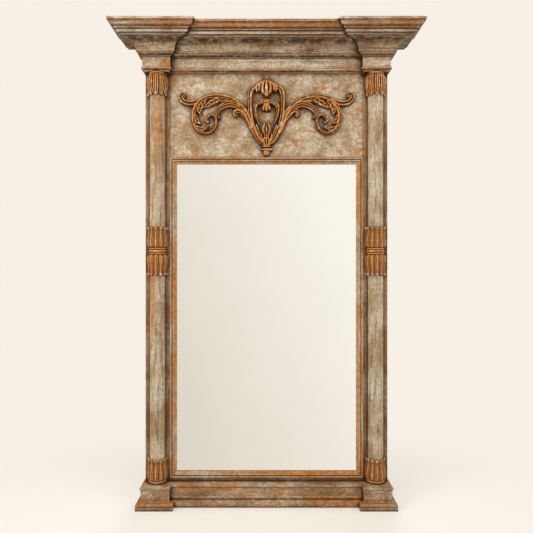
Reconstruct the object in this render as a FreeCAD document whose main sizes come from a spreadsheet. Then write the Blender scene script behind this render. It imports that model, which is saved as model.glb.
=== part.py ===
import FreeCAD, Part
import math
import os

import Sketcher

# A floor-standing trumeau mirror: a tall painted frame with a half column on each stile, an
# entablature and a breakfront cornice on top, two plinths below, a carved panel above the glass.
# Millimetres. Z is up, the front faces -Y, and the floor is at Z = 0.
# A depth is measured forwards from the flat back of the frame. A projection is measured outwards
# from the plain face that a moulding is fixed to.

DRIVING = {
    "frame": {
        "opening_width": 777,
        "stile_width": 97.5,
        "stile_height": 1636,
        "board_thickness": 40,
        "tenon_thickness": 14,
        "tenon_length": 22,
        "stile_tenon_width": 50,
        "stile_tenon_length": 30,
        "tenon_shoulder": 20,
        "bottom_tenon_rise": 4,
        "bottom_tenon_height": 16,
        "joint_play": 0.2,
    },
    "frieze panel": {
        "panel_height": 338,
        "panel_thickness": 9,
        "panel_face_depth": 37,
        "panel_tongue": 7,
        "groove_depth": 8,
        "cross_rail_height": 60,
        "cross_rail_thickness": 28,
        "cross_rail_lap": 30,
    },
    "sight moulding and glass": {
        "sight_width": 27,
        "sight_foot": 100,
        "outer_bead_width": 8,
        "inner_bead_start": 10,
        "inner_bead_width": 7,
        "bead_foot_depth": 39.5,
        "bead_quirk_depth": 38,
        "sight_edge_depth": 34,
        "glass_back_depth": 27,
        "glass_thickness": 4,
        "glass_rabbet": 10,
        "board_rabbet": 20,
        "rabbet_play": 1,
        "backing_thickness": 4,
    },
    "backing screws": {
        "side_screw_count": 5,
        "end_screw_count": 3,
        "screw_corner_gap": 70,
        "screw_edge": 12,
        "screw_head_radius": 3.5,
        "screw_head_height": 1.8,
        "screw_radius": 1.6,
        "screw_length": 13,
        "screw_hole_play": 0.2,
        "pilot_play": 0.05,
    },
    "half columns": {
        "column_radius": 31.5,
        "collar_play": 0.3,
        "capital_height": 95,
        "capital_ring_height": 7,
        "capital_ring_radius": 33.5,
        "capital_neck_radius": 34,
        "capital_belly_radius": 42.5,
        "capital_belly_height": 62,
        "capital_tip_radius": 36,
        "middle_height": 825,
        "tulip_height": 84,
        "tulip_neck_radius": 34,
        "tulip_belly_radius": 42.3,
        "tulip_belly_height": 19,
        "tulip_mouth_radius": 37,
        "middle_ring_height": 9.6,
        "middle_ring_radius": 34.2,
        "middle_ring_quirk": 0.6,
        "base_ring_height": 12,
        "base_ring_radius": 35.5,
        "base_quirk_radius": 33.5,
        "base_quirk_height": 1,
        "base_leaf_height": 86,
        "base_leaf_foot_radius": 37,
        "base_leaf_tip_radius": 37.5,
    },
    "entablature": {
        "block_width": 110.5,
        "block_depth": 74,
        "breakfront": 22,
        "frieze_height": 43.4,
        "lip_height": 14.6,
        "lip_band_height": 5.9,
        "lip_projection": 4,
        "lip_quirk": 1,
        "centre_lip_drop": 11.6,
        "centre_lip_flat": 2,
    },
    "cornice": {
        "bed_projection": 4,
        "bed_height": 4,
        "bed_cyma_projection": 16,
        "bed_cyma_top": 13,
        "cove_fillet_projection": 20,
        "cove_fillet_top": 19,
        "cove_projection": 50,
        "cove_height": 56,
        "drip_projection": 72,
        "drip_height": 7,
        "drip_fillet_projection": 81,
        "drip_fillet_top": 17,
        "fascia_quirk_projection": 79,
        "fascia_fillet_foot": 19.5,
        "fascia_fillet_projection": 88,
        "fascia_fillet_top": 26,
        "fascia_foot_projection": 93,
        "fascia_head_projection": 106,
        "fascia_top": 43,
        "cornice_projection": 110,
        "corona_height": 52,
    },
    "plinths": {
        "plinth_depth": 99,
        "plinth_block_height": 41,
        "plinth_cap_height": 14,
        "cap_projection": 4,
        "cap_foot_height": 3,
        "cap_bevel_width": 7.5,
        "cap_bevel_height": 6,
        "plinth_base_height": 33,
        "base_projection": 18,
        "base_fillet_height": 13.5,
        "base_torus_projection": 15.5,
        "base_torus_top": 27,
        "base_cove_projection": 12,
    },
    "base rail": {
        "rail_floor_gap": 2,
        "base_rail_depth": 70,
        "rail_base_projection": 17,
        "rail_base_fillet_top": 17,
        "rail_base_cove_projection": 8,
        "rail_base_cove_top": 28,
        "rail_step_projection": 3,
        "rail_step_top": 40,
    },
    "strap hangers": {
        "hanger_drop": 196,
        "hinge_inset": 12,
        "recess_depth": 8.5,
        "recess_height": 36,
        "recess_play": 3,
        "strap_width": 12,
        "strap_length": 35,
        "strap_thickness": 1.5,
        "ring_wire_radius": 1.5,
        "ring_bow_radius": 12.5,
        "ring_leg_length": 6,
        "hinge_play": 0.1,
        "strap_screw_first": 10,
        "strap_screw_pitch": 18,
        "strap_screw_head_radius": 3,
        "strap_screw_head_height": 1.8,
        "strap_screw_radius": 1.5,
        "strap_screw_length": 11.5,
    },
    "carving": {
        "carving_centre_height": 169,
    },
}

# How far a cut runs past the wood that it removes.
OVERCUT = 5.0

document = FreeCAD.newDocument("trumeau_mirror")
sheet = document.addObject("Spreadsheet::Sheet", "Sizes")


def fill_sheet():
    row = 1
    for group, dimensions in DRIVING.items():
        sheet.set("A%d" % row, group)
        row += 1
        for name, value in dimensions.items():
            sheet.set("A%d" % row, name)
            sheet.set("B%d" % row, str(value))
            sheet.setAlias("B%d" % row, name)
            row += 1
    document.recompute()


fill_sheet()


class Size:
    """A length, as its formula over the sheet's names and as its present value."""

    def __init__(self, formula, value):
        self.formula = formula
        self.value = value

    def join(self, other, sign, value):
        return Size("(%s %s %s)" % (self.formula, sign, as_size(other).formula), value)

    def __add__(self, other):
        return self.join(other, "+", self.value + as_size(other).value)

    def __radd__(self, other):
        return as_size(other) + self

    def __sub__(self, other):
        return self.join(other, "-", self.value - as_size(other).value)

    def __rsub__(self, other):
        return as_size(other) - self

    def __mul__(self, other):
        return self.join(other, "*", self.value * as_size(other).value)

    def __rmul__(self, other):
        return as_size(other) * self

    def __truediv__(self, other):
        return self.join(other, "/", self.value / as_size(other).value)

    def __neg__(self):
        return as_size(-1) * self


def as_size(number):
    if isinstance(number, Size):
        return number
    return Size("%r" % float(number), float(number))


class Named:
    """Gives each name of the sheet as a Size."""

    def __getattr__(self, name):
        return Size("Sizes." + name, float(sheet.get(name)))


s = Named()
ZERO = as_size(0)


def bind(thing, path, size):
    thing.setExpression(path, as_size(size).formula)


# ---------------------------------------------------------------- heights, depths and centre lines

SIDES = (("left", -1), ("right", 1))

# How round an arc is: its radius over its chord. It is hollow where positive, full where negative.
HALF_ROUND = -0.51
FULL_BEAD = -0.6
OVOLO = -0.75
TORUS = -0.9
CAVETTO = 0.75
LEAF_BELLY = -2.4
SHALLOW_HOLLOW = 1.6

cap_foot = s.plinth_base_height + s.plinth_block_height
stile_foot = cap_foot + s.plinth_cap_height
stile_head = stile_foot + s.stile_height
block_foot = stile_head + s.lip_height
cornice_foot = block_foot + s.frieze_height
corona_foot = cornice_foot + s.cove_height
block_height = s.frieze_height + s.cove_height + s.corona_height

half_opening = s.opening_width / 2
stile_half = s.stile_width / 2
side_centre = half_opening + stile_half
block_half = s.block_width / 2
centre_half = side_centre - block_half
centre_depth = s.block_depth - s.breakfront

centre_lip_foot = block_foot - s.centre_lip_drop
panel_foot = centre_lip_foot - s.panel_height
sight_height = panel_foot - s.sight_foot
panel_back = s.panel_face_depth - s.panel_thickness
tenon_back = (s.board_thickness - s.tenon_thickness) / 2
tenon_front = tenon_back + s.tenon_thickness
back_y = (s.block_depth + s.cornice_projection) / 2


# ---------------------------------------------------------------------------- sketches and features

pieces = []


def keep(thing, label, x=ZERO, z=ZERO):
    """Labels a finished piece and stands it at its centre line and height."""
    thing.Label = label
    bind(thing, "Placement.Base.x", x)
    bind(thing, "Placement.Base.y", back_y)
    bind(thing, "Placement.Base.z", z)
    pieces.append(thing)
    return thing


def new_body(name):
    return document.addObject("PartDesign::Body", name + "_body")


def new_sketch(body, role, name, offset=None):
    planes = [feature for feature in body.Origin.OriginFeatures if feature.Role == role]
    sketch = body.newObject("Sketcher::SketchObject", name)
    sketch.AttachmentSupport = [(planes[0], "")]
    sketch.MapMode = "FlatFace"
    if offset is not None:
        bind(sketch, "AttachmentOffset.Base.z", offset)
    return sketch


def arc_between(start, end, roundness):
    """The arc from start to end whose radius is roundness times its chord. It bulges to the left
    of the way from start to end, or to the right where roundness is negative."""
    chord = end - start
    radius = abs(roundness) * chord.Length
    left = FreeCAD.Vector(-chord.y, chord.x, 0).normalize()
    sagitta = radius - math.sqrt(radius ** 2 - chord.Length ** 2 / 4)
    middle = start + chord * 0.5 + left * math.copysign(sagitta, roundness)
    return Part.Arc(start, middle, end)


def draw_outline(sketch, corners):
    """Draws a closed outline. A corner is (x, y), or (x, y, roundness) where an arc leaves it."""
    points = [(as_size(corner[0]), as_size(corner[1])) for corner in corners]
    ends = []
    for index, corner in enumerate(corners):
        start_x, start_y = points[index]
        end_x, end_y = points[(index + 1) % len(corners)]
        start = FreeCAD.Vector(start_x.value, start_y.value, 0)
        end = FreeCAD.Vector(end_x.value, end_y.value, 0)
        if len(corner) == 2:
            ends.append((sketch.addGeometry(Part.LineSegment(start, end), False), 1, 2))
            continue
        roundness = corner[2]
        edge = sketch.addGeometry(arc_between(start, end, roundness), False)
        ends.append((edge, 1, 2) if roundness < 0 else (edge, 2, 1))
        radius = abs(roundness) * (end - start).Length
        rule = sketch.addConstraint(Sketcher.Constraint("Radius", edge, radius))
        chord = "sqrt((%s - %s)^2 + (%s - %s)^2)" % (
            end_x.formula, start_x.formula, end_y.formula, start_y.formula)
        sketch.setExpression("Constraints[%d]" % rule, "%r * %s" % (abs(roundness), chord))
    for index, (edge, start, end) in enumerate(ends):
        next_edge, next_start, _ = ends[(index + 1) % len(ends)]
        sketch.addConstraint(Sketcher.Constraint("Coincident", edge, end, next_edge, next_start))
        for kind, size in zip(("DistanceX", "DistanceY"), points[index]):
            rule = Sketcher.Constraint(kind, -1, 1, edge, start, size.value)
            number = sketch.addConstraint(rule)
            sketch.setExpression("Constraints[%d]" % number, size.formula)


def draw_circle(sketch, x, y, radius):
    centre = FreeCAD.Vector(as_size(x).value, as_size(y).value, 0)
    circle = Part.Circle(centre, FreeCAD.Vector(0, 0, 1), radius.value)
    edge = sketch.addGeometry(circle, False)
    rules = (
        (Sketcher.Constraint("Radius", edge, radius.value), radius),
        (Sketcher.Constraint("DistanceX", -1, 1, edge, 3, centre.x), as_size(x)),
        (Sketcher.Constraint("DistanceY", -1, 1, edge, 3, centre.y), as_size(y)),
    )
    for rule, size in rules:
        number = sketch.addConstraint(rule)
        sketch.setExpression("Constraints[%d]" % number, size.formula)


def pad(body, sketch, length, symmetric=False):
    feature = body.newObject("PartDesign::Pad", sketch.Name + "_pad")
    feature.Profile = sketch
    bind(feature, "Length", length)
    if symmetric:
        feature.SideType = "Symmetric"
    return feature


def cut_through(body, sketch):
    feature = body.newObject("PartDesign::Pocket", sketch.Name + "_cut")
    feature.Profile = sketch
    feature.SideType = "Symmetric"
    feature.Type = "ThroughAll"
    return feature


def cut_to(body, sketch, length):
    """Cuts forwards, or upwards, from the sketch's plane."""
    feature = body.newObject("PartDesign::Pocket", sketch.Name + "_cut")
    feature.Profile = sketch
    feature.Reversed = True
    bind(feature, "Length", length)
    return feature


def rectangle(x_low, x_high, y_low, y_high):
    return [(x_low, y_low), (x_high, y_low), (x_high, y_high), (x_low, y_high)]


def front_pad(body, name, outline, back, front):
    """Adds wood with an outline seen from the front, between two depths."""
    sketch = new_sketch(body, "XZ_Plane", name, back)
    draw_outline(sketch, outline)
    return pad(body, sketch, front - back)


def front_cut(body, name, outline, back, front):
    sketch = new_sketch(body, "XZ_Plane", name, back)
    draw_outline(sketch, outline)
    return cut_to(body, sketch, front - back)


def front_holes(body, name, centres, radius, back, front):
    sketch = new_sketch(body, "XZ_Plane", name, back)
    for x, z in centres:
        draw_circle(sketch, x, z, radius)
    return cut_to(body, sketch, front - back)


def plan_cut(body, name, *outlines):
    """Cuts right through, with outlines seen from above. Their second value is minus a depth."""
    sketch = new_sketch(body, "XY_Plane", name)
    for outline in outlines:
        draw_outline(sketch, outline)
    return cut_through(body, sketch)


def turned(profile, face, direction):
    """A profile of (projection, height) corners, standing on a face and pointing in a direction.
    An arc's side turns over with the direction."""
    corners = []
    for corner in profile:
        across = direction * (face + corner[0])
        if len(corner) == 3:
            corners.append((across, corner[1], direction * corner[2]))
        else:
            corners.append((across, corner[1]))
    return corners


def box(name, x, y, z, length, width, height):
    thing = document.addObject("Part::Box", name)
    for path, size in (("Length", length), ("Width", width), ("Height", height)):
        bind(thing, path, size)
    for path, size in (("x", x), ("y", y), ("z", z)):
        bind(thing, "Placement.Base." + path, size)
    return thing


# Turns a cylinder that stands on +Z so that it points forwards, along -Y.
FORWARDS = FreeCAD.Rotation(FreeCAD.Vector(1, 0, 0), 90)


def cylinder(name, radius, height, x=ZERO, y=ZERO, z=ZERO, rotation=None):
    thing = document.addObject("Part::Cylinder", name)
    bind(thing, "Radius", radius)
    bind(thing, "Height", height)
    if rotation is not None:
        thing.Placement = FreeCAD.Placement(FreeCAD.Vector(), rotation)
    for path, size in (("x", x), ("y", y), ("z", z)):
        bind(thing, "Placement.Base." + path, size)
    return thing


def fuse(name, parts):
    thing = document.addObject("Part::MultiFuse", name)
    thing.Shapes = parts
    return thing


def cut(name, base, tool):
    thing = document.addObject("Part::Cut", name)
    thing.Base = base
    thing.Tool = tool
    return thing


# --------------------------------------------------------------------------------------- the frame

header_height = block_height + s.centre_lip_drop
header_tenon_foot = s.tenon_shoulder + s.stile_tenon_length
header_tenon_head = header_height - s.tenon_shoulder
bottom_tenon_foot = s.plinth_base_height + s.bottom_tenon_rise
bottom_tenon_head = bottom_tenon_foot + s.bottom_tenon_height


def make_stile(side, sign):
    body = new_body(side + "_stile")
    front_pad(body, "stile_face", rectangle(-stile_half, stile_half, 0, s.stile_height),
              ZERO, s.board_thickness)
    tenon_half = s.stile_tenon_width / 2
    tenons = rectangle(-tenon_half, tenon_half, -s.stile_tenon_length,
                       s.stile_height + s.stile_tenon_length)
    front_pad(body, "stile_tenons", tenons, tenon_back, tenon_front)
    inner = -sign * stile_half
    groove = inner + sign * s.groove_depth
    beyond = inner - sign * OVERCUT
    panel_low = panel_foot - stile_foot
    front_cut(body, "panel_groove", rectangle(beyond, groove, panel_low, s.stile_height + OVERCUT),
              panel_back, s.panel_face_depth)
    lap = inner + sign * (s.cross_rail_lap + s.joint_play)
    lap_high = panel_low + s.cross_rail_height
    front_cut(body, "cross_rail_lap", rectangle(beyond, lap, panel_low, lap_high),
              ZERO, s.cross_rail_thickness)
    hinge = -sign * s.hinge_inset
    recess_in = hinge - sign * (ring_reach + s.recess_play)
    recess_out = hinge + sign * (s.strap_length + s.recess_play)
    level = s.stile_height - s.hanger_drop
    recess = rectangle(recess_in, recess_out, level - s.recess_height / 2,
                       level + s.recess_height / 2)
    front_cut(body, "hanger_recess", recess, ZERO, s.recess_depth)
    centres = [(hinge + sign * reach, level) for reach in strap_screw_reaches]
    front_holes(body, "hanger_pilots", centres, s.strap_screw_radius + s.pilot_play,
                s.recess_depth, s.recess_depth + s.strap_screw_length - s.strap_thickness
                + s.joint_play)
    return keep(body, side + "_stile", sign * side_centre, stile_foot)


def make_header_rail():
    body = new_body("header_rail")
    front_pad(body, "header_face", rectangle(-centre_half, centre_half, 0, header_height),
              ZERO, s.board_thickness)
    reach = centre_half + s.tenon_length
    front_pad(body, "header_tenons",
              rectangle(-reach, reach, header_tenon_foot, header_tenon_head),
              tenon_back, tenon_front)
    return keep(body, "header_rail", ZERO, centre_lip_foot)


def make_cross_rail():
    body = new_body("cross_rail")
    reach = half_opening + s.cross_rail_lap
    front_pad(body, "cross_rail_face", rectangle(-reach, reach, 0, s.cross_rail_height),
              ZERO, s.cross_rail_thickness)
    return keep(body, "cross_rail", ZERO, panel_foot)


def make_bottom_rail():
    """The rail fits between the plinths, and above them it widens to meet the stiles."""
    body = new_body("bottom_rail")
    outline = [
        (-centre_half, s.rail_floor_gap), (centre_half, s.rail_floor_gap),
        (centre_half, stile_foot), (half_opening, stile_foot),
        (half_opening, s.sight_foot), (-half_opening, s.sight_foot),
        (-half_opening, stile_foot), (-centre_half, stile_foot),
    ]
    front_pad(body, "bottom_rail_face", outline, ZERO, s.board_thickness)
    reach = centre_half + s.tenon_length
    front_pad(body, "bottom_rail_tenons",
              rectangle(-reach, reach, bottom_tenon_foot, bottom_tenon_head),
              tenon_back, tenon_front)
    return keep(body, "bottom_rail")


def make_frieze_panel():
    """The panel is tongued into the stiles, and its top edge narrows to fit between the lips."""
    body = new_body("frieze_panel")
    reach = half_opening + s.panel_tongue
    shoulder = stile_head - panel_foot
    outline = [
        (-reach, ZERO), (reach, ZERO), (reach, shoulder), (centre_half, shoulder),
        (centre_half, s.panel_height), (-centre_half, s.panel_height),
        (-centre_half, shoulder), (-reach, shoulder),
    ]
    front_pad(body, "panel_face", outline, panel_back, s.panel_face_depth)
    return keep(body, "frieze_panel", ZERO, panel_foot)


# ------------------------------------------------------------------------ sight moulding and glass

def sight_profile():
    """Corners of (distance in from the outer edge, depth), with two beads and a slope to the
    glass in front, and two rabbets behind."""
    board_step = s.sight_width - s.board_rabbet
    glass_step = s.sight_width - s.glass_rabbet
    glass_front = s.glass_back_depth + s.glass_thickness
    inner_bead_end = s.inner_bead_start + s.inner_bead_width
    return [
        (ZERO, ZERO), (board_step, ZERO), (board_step, s.glass_back_depth),
        (glass_step, s.glass_back_depth), (glass_step, glass_front),
        (s.sight_width, glass_front), (s.sight_width, s.sight_edge_depth, SHALLOW_HOLLOW),
        (inner_bead_end, s.bead_quirk_depth), (inner_bead_end, s.bead_foot_depth, HALF_ROUND),
        (s.inner_bead_start, s.bead_foot_depth), (s.inner_bead_start, s.bead_quirk_depth),
        (s.outer_bead_width, s.bead_quirk_depth), (s.outer_bead_width, s.bead_foot_depth, HALF_ROUND),
        (ZERO, s.bead_foot_depth),
    ]


def mitre_waste(half_length, width, direction):
    """The two corners that a mitre takes off a length, as (along, across) outlines."""
    far = half_length + OVERCUT
    reach = width + OVERCUT
    outlines = []
    for end in (-1, 1):
        outlines.append([
            (end * (half_length + OVERCUT), -OVERCUT * direction),
            (end * (half_length - reach), direction * reach),
            (end * far, direction * reach),
        ])
    return outlines


def screw_stations(length, count):
    """Evenly spaced screws along a moulding, from the middle, between its corner gaps."""
    pitch = (length - 2 * s.screw_corner_gap) / (count - 1)
    return [pitch * (index - (count - 1) / 2) for index in range(count)]


side_screw_stations = screw_stations(sight_height, int(sheet.get("side_screw_count")))
end_screw_stations = screw_stations(s.opening_width, int(sheet.get("end_screw_count")))
pilot_front = s.glass_back_depth - s.backing_thickness + s.screw_length + s.joint_play


def make_level_moulding(name, direction, height):
    """A top or bottom sight moulding. Its outer edge is at the given height, and the moulding
    runs from there in the given direction, up or down."""
    body = new_body(name)
    profile = new_sketch(body, "YZ_Plane", "profile")
    corners = []
    for corner in sight_profile():
        corners.append((-corner[1], direction * corner[0]) + tuple(
            direction * roundness for roundness in corner[2:]))
    draw_outline(profile, corners)
    pad(body, profile, s.opening_width, symmetric=True)
    sketch = new_sketch(body, "XZ_Plane", "mitres")
    for outline in mitre_waste(half_opening, s.sight_width, direction):
        draw_outline(sketch, outline)
    cut_through(body, sketch)
    centres = [(station, direction * s.screw_edge) for station in end_screw_stations]
    front_holes(body, "pilots", centres, s.screw_radius + s.pilot_play,
                s.glass_back_depth - OVERCUT, pilot_front)
    return keep(body, name, ZERO, height)


def make_upright_moulding(name, sign):
    """A left or right sight moulding, from its outer edge in towards the glass."""
    body = new_body(name)
    profile = new_sketch(body, "XY_Plane", "profile")
    corners = []
    for corner in sight_profile():
        corners.append((-sign * corner[0], -corner[1]) + tuple(
            sign * roundness for roundness in corner[2:]))
    draw_outline(profile, corners)
    pad(body, profile, sight_height, symmetric=True)
    sketch = new_sketch(body, "XZ_Plane", "mitres")
    for outline in mitre_waste(sight_height / 2, s.sight_width, -sign):
        draw_outline(sketch, [(across, along) for along, across in outline])
    cut_through(body, sketch)
    centres = [(-sign * s.screw_edge, station) for station in side_screw_stations]
    front_holes(body, "pilots", centres, s.screw_radius + s.pilot_play,
                s.glass_back_depth - OVERCUT, pilot_front)
    return keep(body, name, sign * half_opening, s.sight_foot + sight_height / 2)


def make_mirror_glass():
    edge = s.sight_width - s.glass_rabbet + s.rabbet_play
    glass = box("mirror_glass", edge - half_opening,
                back_y - s.glass_back_depth - s.glass_thickness, s.sight_foot + edge,
                s.opening_width - 2 * edge, s.glass_thickness, sight_height - 2 * edge)
    glass.Label = "mirror_glass"
    pieces.append(glass)


def backing_screw_centres():
    """Screw centres of (x, height above the middle of the glass)."""
    edge_x = half_opening - s.screw_edge
    edge_z = sight_height / 2 - s.screw_edge
    centres = [(side * edge_x, station) for side in (-1, 1) for station in side_screw_stations]
    centres += [(station, side * edge_z) for side in (-1, 1) for station in end_screw_stations]
    return centres


def make_backing_board():
    body = new_body("backing_board")
    edge = s.sight_width - s.board_rabbet + s.rabbet_play
    half_width = half_opening - edge
    half_height = sight_height / 2 - edge
    board_back = s.glass_back_depth - s.backing_thickness
    front_pad(body, "board_face", rectangle(-half_width, half_width, -half_height, half_height),
              board_back, s.glass_back_depth)
    front_holes(body, "board_holes", backing_screw_centres(), s.screw_radius + s.screw_hole_play,
                board_back, s.glass_back_depth)
    keep(body, "backing_board", ZERO, s.sight_foot + sight_height / 2)


def make_screw(name, x, z, seat, head_radius, head_height, radius, length):
    """A round-headed screw that points forwards, with its head's underside at the seat depth."""
    head = cylinder(name + "_head", head_radius, head_height, x, back_y - seat + head_height, z,
                    FORWARDS)
    shank = cylinder(name + "_shank", radius, length, x, back_y - seat, z, FORWARDS)
    return fuse(name, [head, shank])


def make_screw_group(label, screws):
    group = document.addObject("Part::Compound", label)
    group.Links = screws
    group.Label = label
    pieces.append(group)


def make_backing_screws():
    middle = s.sight_foot + sight_height / 2
    screws = []
    for x, z in backing_screw_centres():
        screws.append(make_screw("backing_screw", as_size(x), middle + z,
                                 s.glass_back_depth - s.backing_thickness,
                                 s.screw_head_radius, s.screw_head_height,
                                 s.screw_radius, s.screw_length))
    make_screw_group("backing_screws", screws)


# ------------------------------------------------------------------------------------ half columns

def make_shaft(side, sign):
    shaft = cylinder(side + "_shaft", s.column_radius, s.stile_height)
    shaft.Angle = 180
    shaft.Placement = FreeCAD.Placement(FreeCAD.Vector(),
                                        FreeCAD.Rotation(FreeCAD.Vector(0, 0, 1), 180))
    keep(shaft, side + "_column_shaft", sign * side_centre, stile_foot)
    bind(shaft, "Placement.Base.y", back_y - s.board_thickness)


def make_collar(label, sign, profile, foot):
    """A carved sleeve round the front half of a shaft. The profile's corners are (radius, height
    above the foot), from the bottom up."""
    body = new_body(label)
    bore = s.column_radius + s.collar_play
    corners = [(bore, ZERO)] + profile + [(bore, profile[-1][1])]
    sketch = new_sketch(body, "XZ_Plane", "profile")
    draw_outline(sketch, corners)
    feature = body.newObject("PartDesign::Revolution", "half_turn")
    feature.Profile = sketch
    feature.ReferenceAxis = (sketch, ["V_Axis"])
    feature.Angle = 180
    feature.Reversed = True
    keep(body, label, sign * side_centre, foot)
    bind(body, "Placement.Base.y", back_y - s.board_thickness)


def make_middle_collar(side, sign):
    """Two leaf tulips, mouth down and mouth up, that meet at three rings."""
    ring = s.middle_ring_height
    rings_top = s.tulip_height + 3 * ring
    profile = [
        (s.tulip_mouth_radius, ZERO, LEAF_BELLY),
        (s.tulip_belly_radius, s.tulip_height - s.tulip_belly_height, TORUS),
        (s.tulip_neck_radius, s.tulip_height),
    ]
    for index in range(3):
        low = s.tulip_height + index * ring
        profile.append((s.middle_ring_radius, low + s.middle_ring_quirk, FULL_BEAD))
        profile.append((s.middle_ring_radius, low + ring - s.middle_ring_quirk))
    profile += [
        (s.tulip_neck_radius, rings_top, TORUS),
        (s.tulip_belly_radius, rings_top + s.tulip_belly_height, LEAF_BELLY),
        (s.tulip_mouth_radius, rings_top + s.tulip_height),
    ]
    make_collar(side + "_middle_collar", sign, profile, stile_foot + s.middle_height)


def make_capital(side, sign):
    leaf_top = s.capital_height - s.capital_ring_height
    profile = [
        (s.capital_tip_radius, ZERO, LEAF_BELLY),
        (s.capital_belly_radius, s.capital_belly_height, TORUS),
        (s.capital_neck_radius, leaf_top),
        (s.capital_ring_radius, leaf_top, FULL_BEAD),
        (s.capital_ring_radius, s.capital_height),
    ]
    make_collar(side + "_capital", sign, profile, stile_head - s.capital_height)


def make_base_collar(side, sign):
    quirk_foot = s.base_ring_height - s.base_quirk_height
    profile = [
        (s.base_ring_radius, ZERO, OVOLO), (s.base_ring_radius, quirk_foot),
        (s.base_quirk_radius, quirk_foot), (s.base_quirk_radius, s.base_ring_height),
        (s.base_leaf_foot_radius, s.base_ring_height, LEAF_BELLY),
        (s.base_leaf_tip_radius, s.base_ring_height + s.base_leaf_height),
    ]
    make_collar(side + "_base_collar", sign, profile, stile_foot)


# ------------------------------------------------------- edges moulded on the front and both sides

def edge_waste(profile, face, direction, projection):
    """What is cut away outside a moulded edge, whose corners run from the bottom up."""
    beyond = direction * (face + projection + OVERCUT)
    return turned(profile, face, direction) + [
        (beyond, profile[-1][1] + OVERCUT), (beyond, profile[0][1] - OVERCUT)]


def make_moulded_slab(body, sign, depth, projection, height, profile, middle_depth):
    """A slab as wide and deep as its projecting edges, cut back to its profile in front and on
    both sides. Its inner side is square as far forwards as the middle piece that butts on it."""
    half = block_half + projection
    front = depth + projection
    front_pad(body, "slab", rectangle(-half, half, 0, height), ZERO, front)
    front_edge = new_sketch(body, "YZ_Plane", "front_edge")
    draw_outline(front_edge, edge_waste(profile, depth, -1, projection))
    cut_through(body, front_edge)
    outer_edge = new_sketch(body, "XZ_Plane", "outer_edge")
    draw_outline(outer_edge, edge_waste(profile, block_half, sign, projection))
    cut_through(body, outer_edge)
    front_cut(body, "inner_edge", edge_waste(profile, block_half, -sign, projection),
              middle_depth, front + OVERCUT)
    face = -sign * block_half
    beyond = -sign * (block_half + projection + OVERCUT)
    plan_cut(body, "inner_trim", rectangle(face, beyond, -middle_depth, OVERCUT))


def stile_mortise(body, low, high):
    half = s.stile_tenon_width / 2 + s.joint_play
    front_cut(body, "stile_mortise", rectangle(-half, half, low, high),
              tenon_back - s.joint_play, tenon_front + s.joint_play)


def rail_mortise(body, sign, half_width, low, high):
    face = -sign * (half_width + OVERCUT)
    depth = -sign * (half_width - s.tenon_length - s.joint_play)
    front_cut(body, "rail_mortise", rectangle(face, depth, low - s.joint_play, high + s.joint_play),
              tenon_back - s.joint_play, tenon_front + s.joint_play)


# ----------------------------------------------------------------------------------------- plinths

def cap_profile():
    bevel_foot = s.plinth_cap_height - s.cap_bevel_height
    return [
        (ZERO, ZERO), (s.cap_projection, s.cap_foot_height), (s.cap_projection, bevel_foot),
        (s.cap_projection - s.cap_bevel_width, s.plinth_cap_height),
    ]


def plinth_base_profile():
    return [
        (s.base_projection, ZERO), (s.base_projection, s.base_fillet_height),
        (s.base_torus_projection, s.base_fillet_height, TORUS),
        (s.base_torus_projection, s.base_torus_top),
        (s.base_cove_projection, s.base_torus_top, CAVETTO),
        (ZERO, s.plinth_base_height),
    ]


def make_plinth_base(side, sign):
    body = new_body(side + "_plinth_base")
    make_moulded_slab(body, sign, s.plinth_depth, s.base_projection, s.plinth_base_height,
                      plinth_base_profile(), s.base_rail_depth + s.rail_base_projection)
    keep(body, side + "_plinth_base", sign * side_centre)


def make_plinth_block(side, sign):
    body = new_body(side + "_plinth_block")
    front_pad(body, "block", rectangle(-block_half, block_half, 0, s.plinth_block_height),
              ZERO, s.plinth_depth)
    mortise_depth = s.stile_tenon_length - s.plinth_cap_height + s.joint_play
    stile_mortise(body, s.plinth_block_height - mortise_depth, s.plinth_block_height + OVERCUT)
    foot = bottom_tenon_foot - s.plinth_base_height
    rail_mortise(body, sign, block_half, foot, bottom_tenon_head - s.plinth_base_height)
    keep(body, side + "_plinth_block", sign * side_centre, s.plinth_base_height)


def make_plinth_cap(side, sign):
    body = new_body(side + "_plinth_cap")
    make_moulded_slab(body, sign, s.plinth_depth, s.cap_projection, s.plinth_cap_height,
                      cap_profile(), s.base_rail_depth + s.cap_projection)
    stile_mortise(body, -OVERCUT, s.plinth_cap_height + OVERCUT)
    keep(body, side + "_plinth_cap", sign * side_centre, cap_foot)


# --------------------------------------------------------------------------------------- base rail

def make_middle_length(label, profile, foot):
    """A straight length between the end pieces, with a (minus depth, height) outline."""
    body = new_body(label)
    sketch = new_sketch(body, "YZ_Plane", "profile")
    draw_outline(sketch, profile)
    pad(body, sketch, 2 * centre_half, symmetric=True)
    keep(body, label, ZERO, foot)


def make_base_rail():
    body = new_body("base_rail")
    front_pad(body, "base_rail_face",
              rectangle(-centre_half, centre_half, s.rail_floor_gap, cap_foot),
              s.board_thickness, s.base_rail_depth)
    keep(body, "base_rail")


def make_base_ledge():
    profile = turned(cap_profile(), s.base_rail_depth, -1)
    profile += [(-s.board_thickness, s.plinth_cap_height), (-s.board_thickness, ZERO)]
    make_middle_length("base_ledge", profile, cap_foot)


def make_base_moulding():
    edge = [
        (s.rail_base_projection, s.rail_floor_gap),
        (s.rail_base_projection, s.rail_base_fillet_top, OVOLO),
        (s.rail_base_cove_projection, s.rail_base_cove_top),
        (s.rail_step_projection, s.rail_base_cove_top),
        (s.rail_step_projection, s.rail_step_top - s.rail_step_projection),
        (ZERO, s.rail_step_top), (ZERO, s.rail_floor_gap),
    ]
    make_middle_length("base_moulding", turned(edge, s.base_rail_depth, -1), ZERO)


# ------------------------------------------------------------------------------------- entablature

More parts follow.
